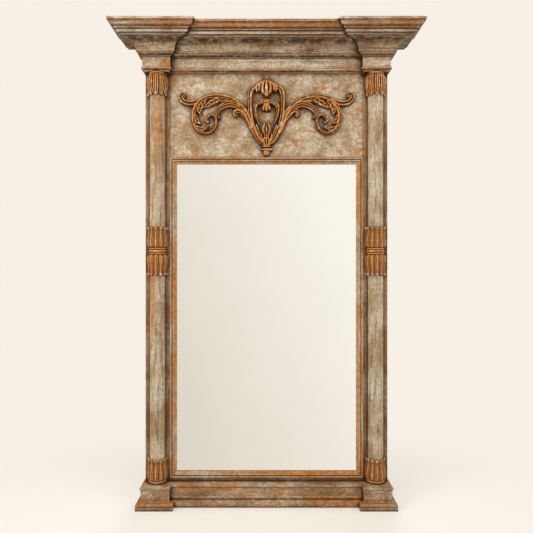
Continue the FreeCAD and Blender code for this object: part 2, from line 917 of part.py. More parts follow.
def make_end_block(side, sign):
    body = new_body(side + "_end_block")
    front_pad(body, "block", rectangle(-block_half, block_half, 0, block_height),
              ZERO, s.block_depth)
    stile_mortise(body, -OVERCUT, s.stile_tenon_length - s.lip_height + s.joint_play)
    rail_mortise(body, sign, block_half, header_tenon_foot - s.centre_lip_drop,
                 header_tenon_head - s.centre_lip_drop)
    keep(body, side + "_end_block", sign * side_centre, block_foot)


def make_end_lip(side, sign):
    body = new_body(side + "_end_lip")
    band_foot = s.lip_height - s.lip_band_height
    profile = [
        (stile_half - block_half, ZERO, CAVETTO), (s.lip_projection - s.lip_quirk, band_foot),
        (s.lip_projection, band_foot), (s.lip_projection, s.lip_height),
    ]
    make_moulded_slab(body, sign, s.block_depth, s.lip_projection, s.lip_height, profile,
                      centre_depth + s.lip_projection)
    stile_mortise(body, -OVERCUT, s.lip_height + OVERCUT)
    keep(body, side + "_end_lip", sign * side_centre, stile_head)


def make_centre_frieze():
    body = new_body("centre_frieze")
    front_pad(body, "frieze_face", rectangle(-centre_half, centre_half, 0, block_height),
              s.board_thickness, centre_depth)
    keep(body, "centre_frieze", ZERO, block_foot)


def make_centre_lip():
    back = -s.board_thickness
    band_foot = s.centre_lip_drop - s.lip_band_height
    front = -(centre_depth + s.lip_projection)
    profile = [
        (back, ZERO), (back - s.centre_lip_flat, ZERO, -CAVETTO), (front + s.lip_quirk, band_foot),
        (front, band_foot), (front, s.centre_lip_drop), (back, s.centre_lip_drop),
    ]
    make_middle_length("centre_lip", profile, centre_lip_foot)


# ----------------------------------------------------------------------------------------- cornice

def cove_profile():
    """The lower layer: a bed fillet, a small cyma, a fillet and the large cove."""
    return [
        (ZERO, ZERO), (s.bed_projection, ZERO), (s.bed_projection, s.bed_height, OVOLO),
        (s.bed_cyma_projection, s.bed_cyma_top), (s.cove_fillet_projection, s.bed_cyma_top),
        (s.cove_fillet_projection, s.cove_fillet_top, CAVETTO),
        (s.cove_projection, s.cove_height), (ZERO, s.cove_height),
    ]


def corona_profile():
    """The upper layer: the drip band, two fillets with a quirk between, a cyma and the top."""
    cyma_middle_projection = (s.fascia_foot_projection + s.fascia_head_projection) / 2
    cyma_middle_height = (s.fascia_fillet_top + s.fascia_top) / 2
    return [
        (ZERO, ZERO), (s.drip_projection, ZERO), (s.drip_projection, s.drip_height),
        (s.drip_fillet_projection, s.drip_height), (s.drip_fillet_projection, s.drip_fillet_top),
        (s.fascia_quirk_projection, s.drip_fillet_top),
        (s.fascia_quirk_projection, s.fascia_fillet_foot),
        (s.fascia_fillet_projection, s.fascia_fillet_foot),
        (s.fascia_fillet_projection, s.fascia_fillet_top),
        (s.fascia_foot_projection, s.fascia_fillet_top, TORUS),
        (cyma_middle_projection, cyma_middle_height, -TORUS),
        (s.fascia_head_projection, s.fascia_top), (s.cornice_projection, s.fascia_top),
        (s.cornice_projection, s.corona_height), (ZERO, s.corona_height),
    ]


mitre_reach = s.cornice_projection + OVERCUT


def front_mitres(half_width, depth, outward):
    """The waste beyond both mitres of a length that faces forwards. Outward is 1 where the
    mitres splay outwards, round a block, and -1 where they close in, between two blocks."""
    outlines = []
    for end in (-1, 1):
        near_x = end * (half_width - outward * OVERCUT)
        far_x = end * (half_width + outward * mitre_reach)
        corner_x = end * (half_width + (mitre_reach if outward > 0 else OVERCUT))
        corner_y = -(depth - OVERCUT) if outward > 0 else -(depth + mitre_reach)
        outlines.append([(near_x, -(depth - OVERCUT)), (far_x, -(depth + mitre_reach)),
                         (corner_x, corner_y)])
    return outlines


def return_mitres(direction, inner):
    """The waste in front of a return's mitre and, on an inner return, behind its second one."""
    near = direction * (block_half - OVERCUT)
    far = direction * (block_half + mitre_reach)
    outlines = [[(near, -(s.block_depth - OVERCUT)), (far, -(s.block_depth + mitre_reach)),
                 (near, -(s.block_depth + mitre_reach))]]
    if inner:
        outlines.append([(near, -(centre_depth - OVERCUT)), (near, OVERCUT), (far, OVERCUT),
                         (far, -(centre_depth + mitre_reach))])
    return outlines


def make_front_length(label, layer, half_width, depth, outward, x, foot):
    body = new_body(label)
    sketch = new_sketch(body, "YZ_Plane", "profile")
    draw_outline(sketch, turned(layer, depth, -1))
    full = half_width + s.cornice_projection if outward > 0 else half_width
    pad(body, sketch, 2 * full, symmetric=True)
    plan_cut(body, "mitres", *front_mitres(half_width, depth, outward))
    keep(body, label, x, foot)


def make_return(label, layer, direction, inner, x, foot):
    body = new_body(label)
    sketch = new_sketch(body, "XZ_Plane", "profile")
    draw_outline(sketch, turned(layer, block_half, direction))
    pad(body, sketch, s.block_depth + s.cornice_projection)
    plan_cut(body, "mitres", *return_mitres(direction, inner))
    keep(body, label, x, foot)


def make_cornice():
    layers = (("cove", cove_profile(), cornice_foot), ("corona", corona_profile(), corona_foot))
    for layer_name, layer, foot in layers:
        for side, sign in SIDES:
            centre = sign * side_centre
            label = "%s_%s" % (side, layer_name)
            make_front_length(label + "_front", layer, block_half, s.block_depth, 1, centre, foot)
            make_return(label + "_outer_return", layer, sign, False, centre, foot)
            make_return(label + "_inner_return", layer, -sign, True, centre, foot)
        make_front_length("centre_" + layer_name, layer, centre_half, centre_depth, -1, ZERO, foot)


# ----------------------------------------------------------------------------------- strap hangers

ring_reach = s.ring_leg_length + s.ring_bow_radius + s.ring_wire_radius
loop_radius = s.ring_wire_radius + s.hinge_play + s.strap_thickness
strap_screw_reaches = (s.strap_screw_first, s.strap_screw_first + s.strap_screw_pitch)
hinge_depth = s.recess_depth - loop_radius
hinge_y = back_y - hinge_depth
hanger_z = stile_head - s.hanger_drop


def hinge_x(sign):
    return sign * (side_centre - s.hinge_inset)


def make_hanger_strap(side, sign):
    """A flat strap that lies on the floor of its recess, with a loop rolled round the ring."""
    name = side + "_strap"
    x = hinge_x(sign)
    low = hanger_z - s.strap_width / 2
    start = x if sign > 0 else x - s.strap_length
    plate = box(name + "_plate", start, back_y - s.recess_depth, low,
                s.strap_length, s.strap_thickness, s.strap_width)
    loop = cylinder(name + "_loop", loop_radius, s.strap_width, x, hinge_y, low)
    bore = cylinder(name + "_bore", s.ring_wire_radius + s.hinge_play,
                    s.strap_width + 2 * OVERCUT, x, hinge_y, low - OVERCUT)
    holes = [bore]
    for reach_out in strap_screw_reaches:
        holes.append(cylinder(name + "_hole", s.strap_screw_radius + s.screw_hole_play,
                              s.strap_thickness + 2 * OVERCUT, x + sign * reach_out,
                              back_y - s.recess_depth + s.strap_thickness + OVERCUT, hanger_z,
                              FORWARDS))
    piece = cut(name, fuse(name + "_blank", [plate, loop]), fuse(name + "_holes", holes))
    piece.Label = side + "_hanger_strap"
    pieces.append(piece)


def make_hanger_ring(side, sign):
    """A D of round wire: a straight back in the strap's loop, two short legs and a bow."""
    name = side + "_ring"
    x = hinge_x(sign)
    wire = s.ring_wire_radius
    legs_end = x - sign * s.ring_leg_length
    along = FreeCAD.Rotation(FreeCAD.Vector(0, 1, 0), -90 * sign)
    parts = [cylinder(name + "_back", wire, 2 * s.ring_bow_radius, x, hinge_y,
                      hanger_z - s.ring_bow_radius)]
    for end in (-1, 1):
        level = hanger_z + end * s.ring_bow_radius
        parts.append(cylinder(name + "_leg", wire, s.ring_leg_length, x, hinge_y, level, along))
        corner = document.addObject("Part::Sphere", name + "_corner")
        bind(corner, "Radius", wire)
        for path, size in (("x", x), ("y", hinge_y), ("z", level)):
            bind(corner, "Placement.Base." + path, size)
        parts.append(corner)
    bow = document.addObject("Part::Torus", name + "_bow")
    bind(bow, "Radius1", s.ring_bow_radius)
    bind(bow, "Radius2", wire)
    bow.Angle3 = 180
    upright = FreeCAD.Rotation(FreeCAD.Vector(1, 0, 0), 90)
    turn = FreeCAD.Rotation(FreeCAD.Vector(0, 1, 0), -90 * sign)
    bow.Placement = FreeCAD.Placement(FreeCAD.Vector(), turn.multiply(upright))
    for path, size in (("x", legs_end), ("y", hinge_y), ("z", hanger_z)):
        bind(bow, "Placement.Base." + path, size)
    parts.append(bow)
    piece = fuse(name, parts)
    piece.Label = side + "_hanger_ring"
    pieces.append(piece)


def make_strap_screws():
    screws = []
    for side, sign in SIDES:
        for reach_out in strap_screw_reaches:
            screws.append(make_screw("strap_screw", hinge_x(sign) + sign * reach_out, hanger_z,
                                     s.recess_depth - s.strap_thickness,
                                     s.strap_screw_head_radius, s.strap_screw_head_height,
                                     s.strap_screw_radius, s.strap_screw_length))
    make_screw_group("strap_screws", screws)


# ----------------------------------------------------------------------------------------- carving

# A carved stem or leaf is a row of stations (x, height, half width, relief) from the middle of
# the panel. The left scroll is drawn, and the right one is its mirror image.
SCROLL_STEM = (
    (-66, -18, 7, 12), (-80, 12, 11, 16), (-98, 42, 13, 18), (-124, 66, 15, 19),
    (-166, 76, 16, 20), (-212, 74, 18, 20), (-252, 56, 19, 21), (-281, 24, 18, 21),
    (-291, -12, 16, 20), (-281, -48, 15, 20), (-254, -69, 14, 19), (-226, -68, 12, 18),
    (-206, -50, 10, 17), (-202, -28, 9, 16), (-214, -10, 9, 15), (-234, -12, 8, 15),
)
SCROLL_TAIL = (
    (-250, 60, 12, 12), (-278, 56, 14, 15), (-306, 47, 13, 16), (-332, 48, 11, 15),
    (-347, 64, 9, 14), (-340, 84, 9, 13), (-324, 86, 7, 12),
)
SCROLL_BRANCH = (
    (-112, 50, 9, 12), (-146, 52, 12, 14), (-178, 42, 12, 15), (-196, 18, 10, 14),
    (-190, -8, 7, 11),
)
SCROLL_LEAF = (
    (-270, 30, 8, 12), (-258, 8, 12, 14), (-262, -18, 10, 13), (-268, -40, 6, 10),
)
CARTOUCHE_BAND = (
    (-20, -104, 9, 16), (-34, -66, 10, 17), (-46, -24, 9, 17), (-60, 14, 8, 17),
    (-69, 52, 8, 18), (-67, 86, 8, 19), (-50, 106, 8, 19), (-34, 98, 7, 17), (-22, 88, 7, 15),
)
CARTOUCHE_HEART = (
    (-4, -52, 9, 15), (-26, -34, 9, 16), (-42, -4, 8, 16), (-44, 24, 8, 16), (-30, 42, 8, 16),
    (-12, 36, 8, 15), (-3, 18, 7, 15),
)
CREST = ((0, 62, 14, 14), (0, 84, 30, 20), (0, 106, 36, 24), (0, 128, 26, 22), (0, 152, 5, 14))
KNOB = ((0, 10, 8, 16), (0, 30, 17, 22), (0, 48, 14, 20), (0, 58, 5, 15))
PALMETTE = (
    (0, -36, 10, 14), (0, -62, 20, 23), (0, -92, 17, 22), (0, -122, 10, 16), (0, -128, 13, 18),
    (0, -136, 13, 18), (0, -140, 17, 20), (0, -152, 12, 16), (0, -156, 4, 10),
)


ARCH_FACETS = 6


def station_wire(station, heading, base):
    """The cross-section of a carved stem: a low arch of facets on the panel's face."""
    x, z, half_width, relief = station
    across = FreeCAD.Vector(-heading.z, 0, heading.x)
    middle = FreeCAD.Vector(x, 0, z) + base
    points = []
    for index in range(ARCH_FACETS + 1):
        angle = math.pi * index / ARCH_FACETS
        lift = FreeCAD.Vector(0, -relief * math.sin(angle), 0)
        points.append(middle + across * (half_width * math.cos(angle)) + lift)
    return Part.makePolygon(points + [points[0]])


def carved_stem(stations, base, flip=1):
    stations = [(flip * x, z, half_width, relief) for x, z, half_width, relief in stations]
    wires = []
    last = len(stations) - 1
    for index, station in enumerate(stations):
        before = stations[max(index - 1, 0)]
        after = stations[min(index + 1, last)]
        heading = FreeCAD.Vector(after[0] - before[0], 0, after[1] - before[1]).normalize()
        wires.append(station_wire(station, heading, base))
    return Part.makeLoft(wires, True, True)


def make_carving(label, stems):
    """Joins carved stems of (stations, flip) into one piece on the face of the frieze panel."""
    base = FreeCAD.Vector(0, (back_y - s.panel_face_depth).value,
                          (panel_foot + s.carving_centre_height).value)
    solids = [carved_stem(stations, base, flip) for stations, flip in stems]
    feature = document.addObject("Part::Feature", label)
    shape = solids[0].fuse(solids[1:]).removeSplitter()
    feature.Shape = shape
    feature.Label = label
    pieces.append(feature)


def make_carvings():
    for side, sign in SIDES:
        flip = -sign
        stems = [(stations, flip)
                 for stations in (SCROLL_STEM, SCROLL_TAIL, SCROLL_BRANCH, SCROLL_LEAF)]
        make_carving(side + "_scroll", stems)
    stems = [(stations, flip)
             for stations in (CARTOUCHE_BAND, CARTOUCHE_HEART) for flip in (1, -1)]
    stems += [(stations, 1) for stations in (CREST, KNOB, PALMETTE)]
    make_carving("cartouche", stems)


# -------------------------------------------------------------------------------------------- build

for side, sign in SIDES:
    make_stile(side, sign)
    make_shaft(side, sign)
    make_capital(side, sign)
    make_middle_collar(side, sign)
    make_base_collar(side, sign)
    make_plinth_block(side, sign)
    make_end_block(side, sign)
    make_hanger_strap(side, sign)
    make_hanger_ring(side, sign)
    make_plinth_base(side, sign)
    make_plinth_cap(side, sign)
    make_end_lip(side, sign)
make_header_rail()
make_cross_rail()
make_bottom_rail()
make_frieze_panel()
make_level_moulding("top_sight_moulding", -1, panel_foot)
make_level_moulding("bottom_sight_moulding", 1, s.sight_foot)
for side, sign in SIDES:
    make_upright_moulding(side + "_sight_moulding", sign)
make_mirror_glass()
make_backing_board()
make_backing_screws()
make_base_rail()
make_base_ledge()
make_base_moulding()
make_centre_frieze()
make_centre_lip()
make_cornice()
make_strap_screws()
document.recompute()
make_carvings()
document.recompute()


def check_pieces():
    """Stops if any object failed, or if a piece is missing, empty or not sound."""
    faults = [thing.Label for thing in document.Objects
              if "Invalid" in thing.State or "Error" in thing.State]
    for piece in pieces:
        if piece.Shape.isNull() or not piece.Shape.isValid() or not piece.Shape.Solids:
            faults.append(piece.Label)
    if faults:
        raise RuntimeError("not sound: " + ", ".join(faults))


def write_pieces():
    os.makedirs("parts", exist_ok=True)
    for piece in pieces:
        piece.Shape.exportStep("parts/%s.step" % piece.Label)
        solids = piece.Shape.Solids
        print("%-26s %2d solids %12.0f mm3" % (piece.Label, len(solids), piece.Shape.Volume))


check_pieces()
write_pieces()
print("%d pieces" % len(pieces))
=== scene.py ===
import math

import bpy
import numpy as np
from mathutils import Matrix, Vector


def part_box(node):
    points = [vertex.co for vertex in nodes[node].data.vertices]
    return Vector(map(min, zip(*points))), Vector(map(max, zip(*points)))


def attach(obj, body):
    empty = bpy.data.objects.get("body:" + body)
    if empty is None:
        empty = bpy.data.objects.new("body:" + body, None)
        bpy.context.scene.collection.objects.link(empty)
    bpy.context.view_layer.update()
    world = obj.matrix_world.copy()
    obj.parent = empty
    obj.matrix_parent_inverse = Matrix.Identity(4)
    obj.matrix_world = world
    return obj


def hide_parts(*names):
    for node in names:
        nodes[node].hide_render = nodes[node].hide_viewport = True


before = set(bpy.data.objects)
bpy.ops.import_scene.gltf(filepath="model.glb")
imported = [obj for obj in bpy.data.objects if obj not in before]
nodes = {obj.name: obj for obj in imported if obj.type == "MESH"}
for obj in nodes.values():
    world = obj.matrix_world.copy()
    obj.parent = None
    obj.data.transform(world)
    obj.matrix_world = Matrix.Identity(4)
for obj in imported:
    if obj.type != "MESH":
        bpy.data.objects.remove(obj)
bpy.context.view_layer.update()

PHOTO_WIDTH = 533
FOCAL_PIXELS = 531.0
SENSOR_WIDTH = 36.0
CAMERA_DISTANCE = 2.175
CAMERA_HEIGHT = 0.950
MM_PER_METRE = 1000

panel_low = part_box("frieze_panel")[0]
shaft_low, shaft_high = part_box("left_column_shaft")
PANEL_FACE_Y = panel_low.y
COLUMN_RADIUS = (shaft_high.x - shaft_low.x) / 2
COLUMN_AXIS_Y = shaft_high.y
BACK_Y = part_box("left_stile")[1].y
CORNICE_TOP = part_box("left_corona_front")[1].z


# ------------------------------------------------------------------------------- colours by name

def tint(red, green, blue):
    """A colour of 0 to 255 parts, as a shader wants it."""
    parts = []
    for part in (red, green, blue):
        value = part / 255.0
        parts.append(value / 12.92 if value <= 0.04045 else ((value + 0.055) / 1.055) ** 2.4)
    return (*parts, 1.0)


STONE_LIGHT = tint(224, 209, 182)
STONE_MIDDLE = tint(182, 157, 121)
STONE_DARK = tint(122, 88, 55)
UMBER_LIGHT = tint(214, 191, 156)
UMBER_MIDDLE = tint(166, 132, 92)
UMBER_DARK = tint(102, 65, 35)
# A cream that stands for dry brushing and for painted highlights on outer edges.
DRY_BRUSH_AND_HIGHLIGHT_CREAM = tint(236, 225, 203)
OCHRE_BRIGHT = tint(204, 134, 62)
OCHRE_DEEP = tint(150, 92, 42)
# The brown of glaze, and of the shade painted in hollows, corners and undersides.
GLAZE_AND_SHADE_BROWN = tint(64, 36, 15)
GILT_LIGHT = tint(214, 141, 64)
GILT_DEEP = tint(158, 97, 40)
# The brown of glaze and of painted shade in the cuts of the carving.
CUT_GLAZE_AND_SHADE_BROWN = tint(76, 43, 17)
# Pale gilding rubbed through on the crests, which also stands for a painted highlight.
GILT_PALE_AND_HIGHLIGHT = tint(232, 218, 194)
PINE_LIGHT = tint(206, 170, 122)
PINE_DARK = tint(164, 120, 76)
BOARD_BROWN = tint(122, 88, 58)
BOARD_DARK = tint(92, 62, 38)
BOARD_PALE = tint(146, 112, 78)
GLASS_WARM = tint(252, 250, 246)
GLASS_COOL = tint(246, 244, 239)
ZINC_LIGHT = tint(196, 196, 190)
ZINC_GREY = tint(158, 160, 158)
ZINC_DULL = tint(120, 112, 98)
BRASS_BRIGHT = tint(206, 172, 104)
BRASS_TARNISHED = tint(120, 90, 50)
BACKGROUND = tint(247, 240, 230)
FLOOR_LIGHT = tint(240, 236, 230)
FLOOR_SHADE = tint(236, 231, 224)
STUDIO_BRIGHT = tint(255, 252, 246)
STUDIO_DIM = tint(226, 220, 209)
FILL_WHITE = tint(255, 253, 250)


# ------------------------------------------------------------------------------ building shaders

def fill(tree, made, wires):
    """Wires or fills the inputs of a shader node that are named."""
    for name, value in wires.items():
        if isinstance(value, bpy.types.NodeSocket):
            tree.links.new(value, made.inputs[name])
        else:
            made.inputs[name].default_value = value


def put(tree, kind, wires=None, **settings):
    """Adds a shader node with its settings and its inputs."""
    made = tree.nodes.new("ShaderNode" + kind)
    for name, value in settings.items():
        setattr(made, name, value)
    fill(tree, made, wires or {})
    return made


def sum_up(tree, operation, first, second=0.0, third=0.0):
    """One step of arithmetic on masks, kept between 0 and 1."""
    made = put(tree, "Math", {0: first, 1: second, 2: third}, operation=operation, use_clamp=True)
    return made.outputs[0]


def both(tree, first, second):
    """Where two masks hold together, or an amount of one mask."""
    return sum_up(tree, "MULTIPLY", first, second)


def either(tree, first, second):
    """The stronger of two masks."""
    return sum_up(tree, "MAXIMUM", first, second)


def lay_over(tree, mask, under, over):
    """Lays one colour over another where the mask says."""
    made = put(tree, "Mix", {0: mask, 6: under, 7: over}, data_type="RGBA")
    return made.outputs[2]


def fade(tree, value, low, high, bottom=0.0, top=1.0):
    """A mask that rises smoothly from bottom at low to top at high."""
    made = put(tree, "MapRange", {"Value": value, "From Min": low, "From Max": high,
                                  "To Min": bottom, "To Max": top}, interpolation_type="SMOOTHSTEP")
    return made.outputs[0]


def speckle(tree, place, size, detail, roughness, distortion=0.0):
    """Soft random patches, smaller for a greater size value."""
    made = put(tree, "TexNoise", {"Vector": place, "Scale": size, "Detail": detail,
                                  "Roughness": roughness, "Distortion": distortion})
    return made.outputs["Fac"]


def stretch(tree, place, factors):
    """The place drawn out, so that a pattern on it follows one direction."""
    made = put(tree, "VectorMath", {0: place, 1: factors}, operation="MULTIPLY")
    return made.outputs[0]


def parts_of(tree, vector):
    """The X, Y and Z of a place or direction."""
    return put(tree, "SeparateXYZ", {0: vector}).outputs


def facing(tree):
    """The X, Y and Z of the way that the surface faces."""
    return parts_of(tree, put(tree, "NewGeometry").outputs["Normal"])


def new_effect(name, inputs, outputs):
    """Starts a shared effect. Inputs are (name, kind, value), outputs are (name, kind)."""
    tree = bpy.data.node_groups.new(name, "ShaderNodeTree")
    for label, kind, value in inputs:
        socket = tree.interface.new_socket(label, in_out="INPUT", socket_type="NodeSocket" + kind)
        socket.default_value = value
    for label, kind in outputs:
        tree.interface.new_socket(label, in_out="OUTPUT", socket_type="NodeSocket" + kind)
    given = tree.nodes.new("NodeGroupInput").outputs
    result = tree.nodes.new("NodeGroupOutput").inputs
    return tree, given, result


def use_effect(tree, effect, wires):
    """Adds a shared effect and gives its outputs."""
    made = tree.nodes.new("ShaderNodeGroup")
    made.node_tree = effect
    fill(tree, made, wires)
    return made.outputs


# ------------------------------------------------------------------------------- shared effects

PLACE = ("Place", "Vector", (0, 0, 0))
STRETCH = ("Stretch", "Vector", (1, 1, 1))


def make_glaze_and_painted_shade():
    """Dark glaze and painted shade in corners, hollows and undersides: glaze that a rag doesn't
    reach, and the shade that falls there.
    """
    tree, given, result = new_effect(
        "glaze and painted shade in the hollows", [PLACE, ("Reach", "Float", 0.02), ("Amount", "Float", 1.0)],
        [("Glaze and shade", "Float"), ("Open", "Float")])
    # Ambient occlusion darkens corners and hollows: painted shade as well as glaze.
    open_sky = put(tree, "AmbientOcclusion", {"Distance": given["Reach"]}, samples=8).outputs["AO"]
    patches = speckle(tree, given["Place"], 38.0, 5.0, 0.65)
    wiped = put(tree, "Math", {0: patches, 1: 0.40, 2: open_sky}, operation="MULTIPLY_ADD")
    hollow = fade(tree, wiped.outputs[0], 0.70, 1.16, 1.0, 0.0)
    # Faces that look down are darkened: painted shade on undersides, with some glaze.
    down = fade(tree, facing(tree)["Z"], -0.95, -0.30, 1.0, 0.0)
    under = both(tree, down, fade(tree, patches, 0.36, 0.60, 0.35, 1.0))
    glaze = both(tree, either(tree, hollow, under), given["Amount"])
    tree.links.new(glaze, result["Glaze and shade"])
    tree.links.new(open_sky, result["Open"])
    return tree


def make_rubbed_and_highlit_arrises():
    """Where hands and dusters have rubbed the paint off an outer corner, and a pale touch on the
    corner that is partly dry brushing and partly a painted highlight."""
    tree, given, result = new_effect(
        "rubbed and highlit arrises",
        [PLACE, ("Width", "Float", 0.004), ("Open", "Float", 1.0), ("Amount", "Float", 1.0)],
        [("Rub", "Float"), ("Dry brush and highlight", "Float")])
    rounded = put(tree, "Bevel", {"Radius": given["Width"]}, samples=6).outputs[0]
    flat = put(tree, "NewGeometry").outputs["Normal"]
    agree = put(tree, "VectorMath", {0: rounded, 1: flat}, operation="DOT_PRODUCT").outputs["Value"]
    corner = fade(tree, agree, 0.86, 0.995, 1.0, 0.0)
    outside = fade(tree, given["Open"], 0.72, 0.93)
    breaks = fade(tree, speckle(tree, given["Place"], 26.0, 6.0, 0.72), 0.40, 0.56)
    edge = both(tree, corner, outside)
    rub = both(tree, edge, breaks)
    # Pale touches on outer corners: dry brushing and a painted edge highlight.
    pale_touch_and_highlight = fade(tree, speckle(tree, given["Place"], 41.0, 5.0, 0.7), 0.46, 0.58)
    tree.links.new(both(tree, edge, pale_touch_and_highlight), result["Dry brush and highlight"])
    tree.links.new(both(tree, rub, given["Amount"]), result["Rub"])
    return tree


def make_brushed_streaks():
    """Long streaks that follow the length of a moulding or board."""
    tree, given, result = new_effect(
        "brushed streaks",
        [PLACE, STRETCH, ("Size", "Float", 30.0), ("Cut", "Float", 0.55),
         ("Softness", "Float", 0.05)],
        [("Streaks", "Float")])
    drawn = stretch(tree, given["Place"], given["Stretch"])
    noise = speckle(tree, drawn, given["Size"], 7.0, 0.66, 0.4)
    low = sum_up(tree, "SUBTRACT", given["Cut"], given["Softness"])
    high = sum_up(tree, "ADD", given["Cut"], given["Softness"])
    tree.links.new(fade(tree, noise, low, high), result["Streaks"])
    return tree


def make_mottled_paint():
    """Old paint in three tones: clouds, smaller patches and fine specks."""
    tree, given, result = new_effect(
        "mottled paint",
        [PLACE, ("Light", "Color", STONE_LIGHT), ("Middle", "Color", STONE_MIDDLE),
         ("Dark", "Color", STONE_DARK), ("Size", "Float", 9.0), ("Depth", "Float", 0.5)],
        [("Colour", "Color"), ("Cloud", "Float")])
    cloud = fade(tree, speckle(tree, given["Place"], given["Size"], 6.0, 0.62, 0.3), 0.36, 0.64)
    patch = fade(tree, speckle(tree, given["Place"], 95.0, 6.0, 0.70), 0.40, 0.66)
    grit = fade(tree, speckle(tree, given["Place"], 340.0, 4.0, 0.7), 0.54, 0.68)
    two = lay_over(tree, cloud, given["Light"], given["Middle"])
    dark = both(tree, patch, given["Depth"])
    three = lay_over(tree, dark, two, given["Dark"])
    dust = lay_over(tree, both(tree, grit, 0.55), three, given["Dark"])
    tree.links.new(dust, result["Colour"])
    tree.links.new(cloud, result["Cloud"])
    return tree


def make_brush_relief():
    """The height of the paint: brush lines, lumps and pin holes."""
    tree, given, result = new_effect("brush relief", [PLACE, STRETCH], [("Height", "Float")])
    drawn = stretch(tree, given["Place"], given["Stretch"])
    lines = speckle(tree, drawn, 160.0, 5.0, 0.6)
    lumps = speckle(tree, given["Place"], 60.0, 5.0, 0.6)
    cells = put(tree, "TexVoronoi", {"Vector": given["Place"], "Scale": 260.0}).outputs["Distance"]
    pins = fade(tree, cells, 0.05, 0.22)
    height = sum_up(tree, "MULTIPLY_ADD", lines, 0.35, both(tree, lumps, 0.45))
    tree.links.new(sum_up(tree, "MULTIPLY_ADD", pins, 0.2, height), result["Height"])
    return tree


def make_wood_grain():
    """Sawn softwood: wavy year rings drawn out along the board."""
    tree, given, result = new_effect(
        "wood grain",
        [PLACE, STRETCH, ("Light", "Color", PINE_LIGHT), ("Dark", "Color", PINE_DARK)],
        [("Colour", "Color"), ("Height", "Float")])
    drawn = stretch(tree, given["Place"], given["Stretch"])
    wave = put(tree, "TexWave", {"Vector": drawn, "Scale": 24.0, "Distortion": 5.0, "Detail": 4.0,
                                 "Detail Scale": 0.7}, wave_type="BANDS", bands_direction="DIAGONAL")
    rings = wave.outputs["Fac"]
    fibre = speckle(tree, drawn, 240.0, 4.0, 0.7)
    board = speckle(tree, drawn, 9.0, 3.0, 0.5)
    depth = fade(tree, board, 0.35, 0.65, 0.12, 0.50)
    tone = sum_up(tree, "MULTIPLY_ADD", rings, depth, both(tree, fibre, 0.6))
    tree.links.new(lay_over(tree, tone, given["Light"], given["Dark"]), result["Colour"])
    tree.links.new(tone, result["Height"])
    return tree


glaze_and_painted_shade = make_glaze_and_painted_shade()
rubbed_and_highlit_arrises = make_rubbed_and_highlit_arrises()
brushed_streaks = make_brushed_streaks()
mottled_paint = make_mottled_paint()
brush_relief = make_brush_relief()
wood_grain = make_wood_grain()

ALONG_X = (0.10, 1.0, 1.0)
ALONG_Y = (1.0, 0.12, 1.0)
ALONG_Z = (1.0, 1.0, 0.10)
EVEN = (1.0, 1.0, 1.0)
BAND_EDGE = 0.002


def new_finish(name):
    """A material with its Principled BSDF and the place on the object, in metres."""
    material = bpy.data.materials.new(name)
    material.use_nodes = True
    tree = material.node_tree
    shader = tree.nodes["Principled BSDF"]
    place = put(tree, "TexCoord").outputs["Object"]
    return material, tree, shader, place


def streaks(tree, place, along, size, cut, softness):
    """Where long streaks lie that follow one direction."""
    wires = {"Place": place, "Stretch": along, "Size": size, "Cut": cut, "Softness": softness}
    return use_effect(tree, brushed_streaks, wires)["Streaks"]


def coat(tree, shader, colour, roughness):
    """Gives a finish its colour and its roughness."""
    tree.links.new(colour, shader.inputs["Base Color"])
    tree.links.new(roughness, shader.inputs["Roughness"])


def set_bump(tree, shader, height, distance, strength):
    """Gives a finish its fine relief, from a height of 0 to 1 and a distance in metres."""
    bump = put(tree, "Bump", {"Strength": strength, "Distance": distance, "Height": height})
    tree.links.new(bump.outputs[0], shader.inputs["Normal"])


# --------------------------------------------------------------------------------- the finishes

def torn_ochre_band(tree, place, along, band):
    """Ochre that shows through between two heights. Band is (low, high, amount, cut)."""
    low, high, amount, cut = band
    height = parts_of(tree, place)["Z"]
    rise = fade(tree, height, low - BAND_EDGE, low + BAND_EDGE)
    fall = fade(tree, height, high - BAND_EDGE, high + BAND_EDGE, 1.0, 0.0)
    torn = streaks(tree, place, along, 21.0, cut, 0.05)
    inside = both(tree, rise, fall)
    return both(tree, both(tree, inside, torn), amount)


def leave_pine_bare(tree, place, colour, along):
    """Bare pine on faces that look to the wall, and dusty pine on top of the cornice."""
    grain = use_effect(tree, wood_grain, {"Place": place, "Stretch": along})
    normal = facing(tree)
    spot = parts_of(tree, place)
    behind = both(tree, fade(tree, normal["Y"], 0.80, 0.95),
                  fade(tree, spot["Y"], BACK_Y - 0.055, BACK_Y - 0.050))
    on_top = both(tree, fade(tree, normal["Z"], 0.90, 0.98),
                  fade(tree, spot["Z"], CORNICE_TOP - 0.003, CORNICE_TOP - 0.001))
    dust = fade(tree, speckle(tree, place, 11.0, 5.0, 0.65), 0.35, 0.70, 0.15, 0.75)
    dusty = lay_over(tree, dust, grain["Colour"], STONE_DARK)
    colour = lay_over(tree, behind, colour, grain["Colour"])
    return lay_over(tree, on_top, colour, dusty)


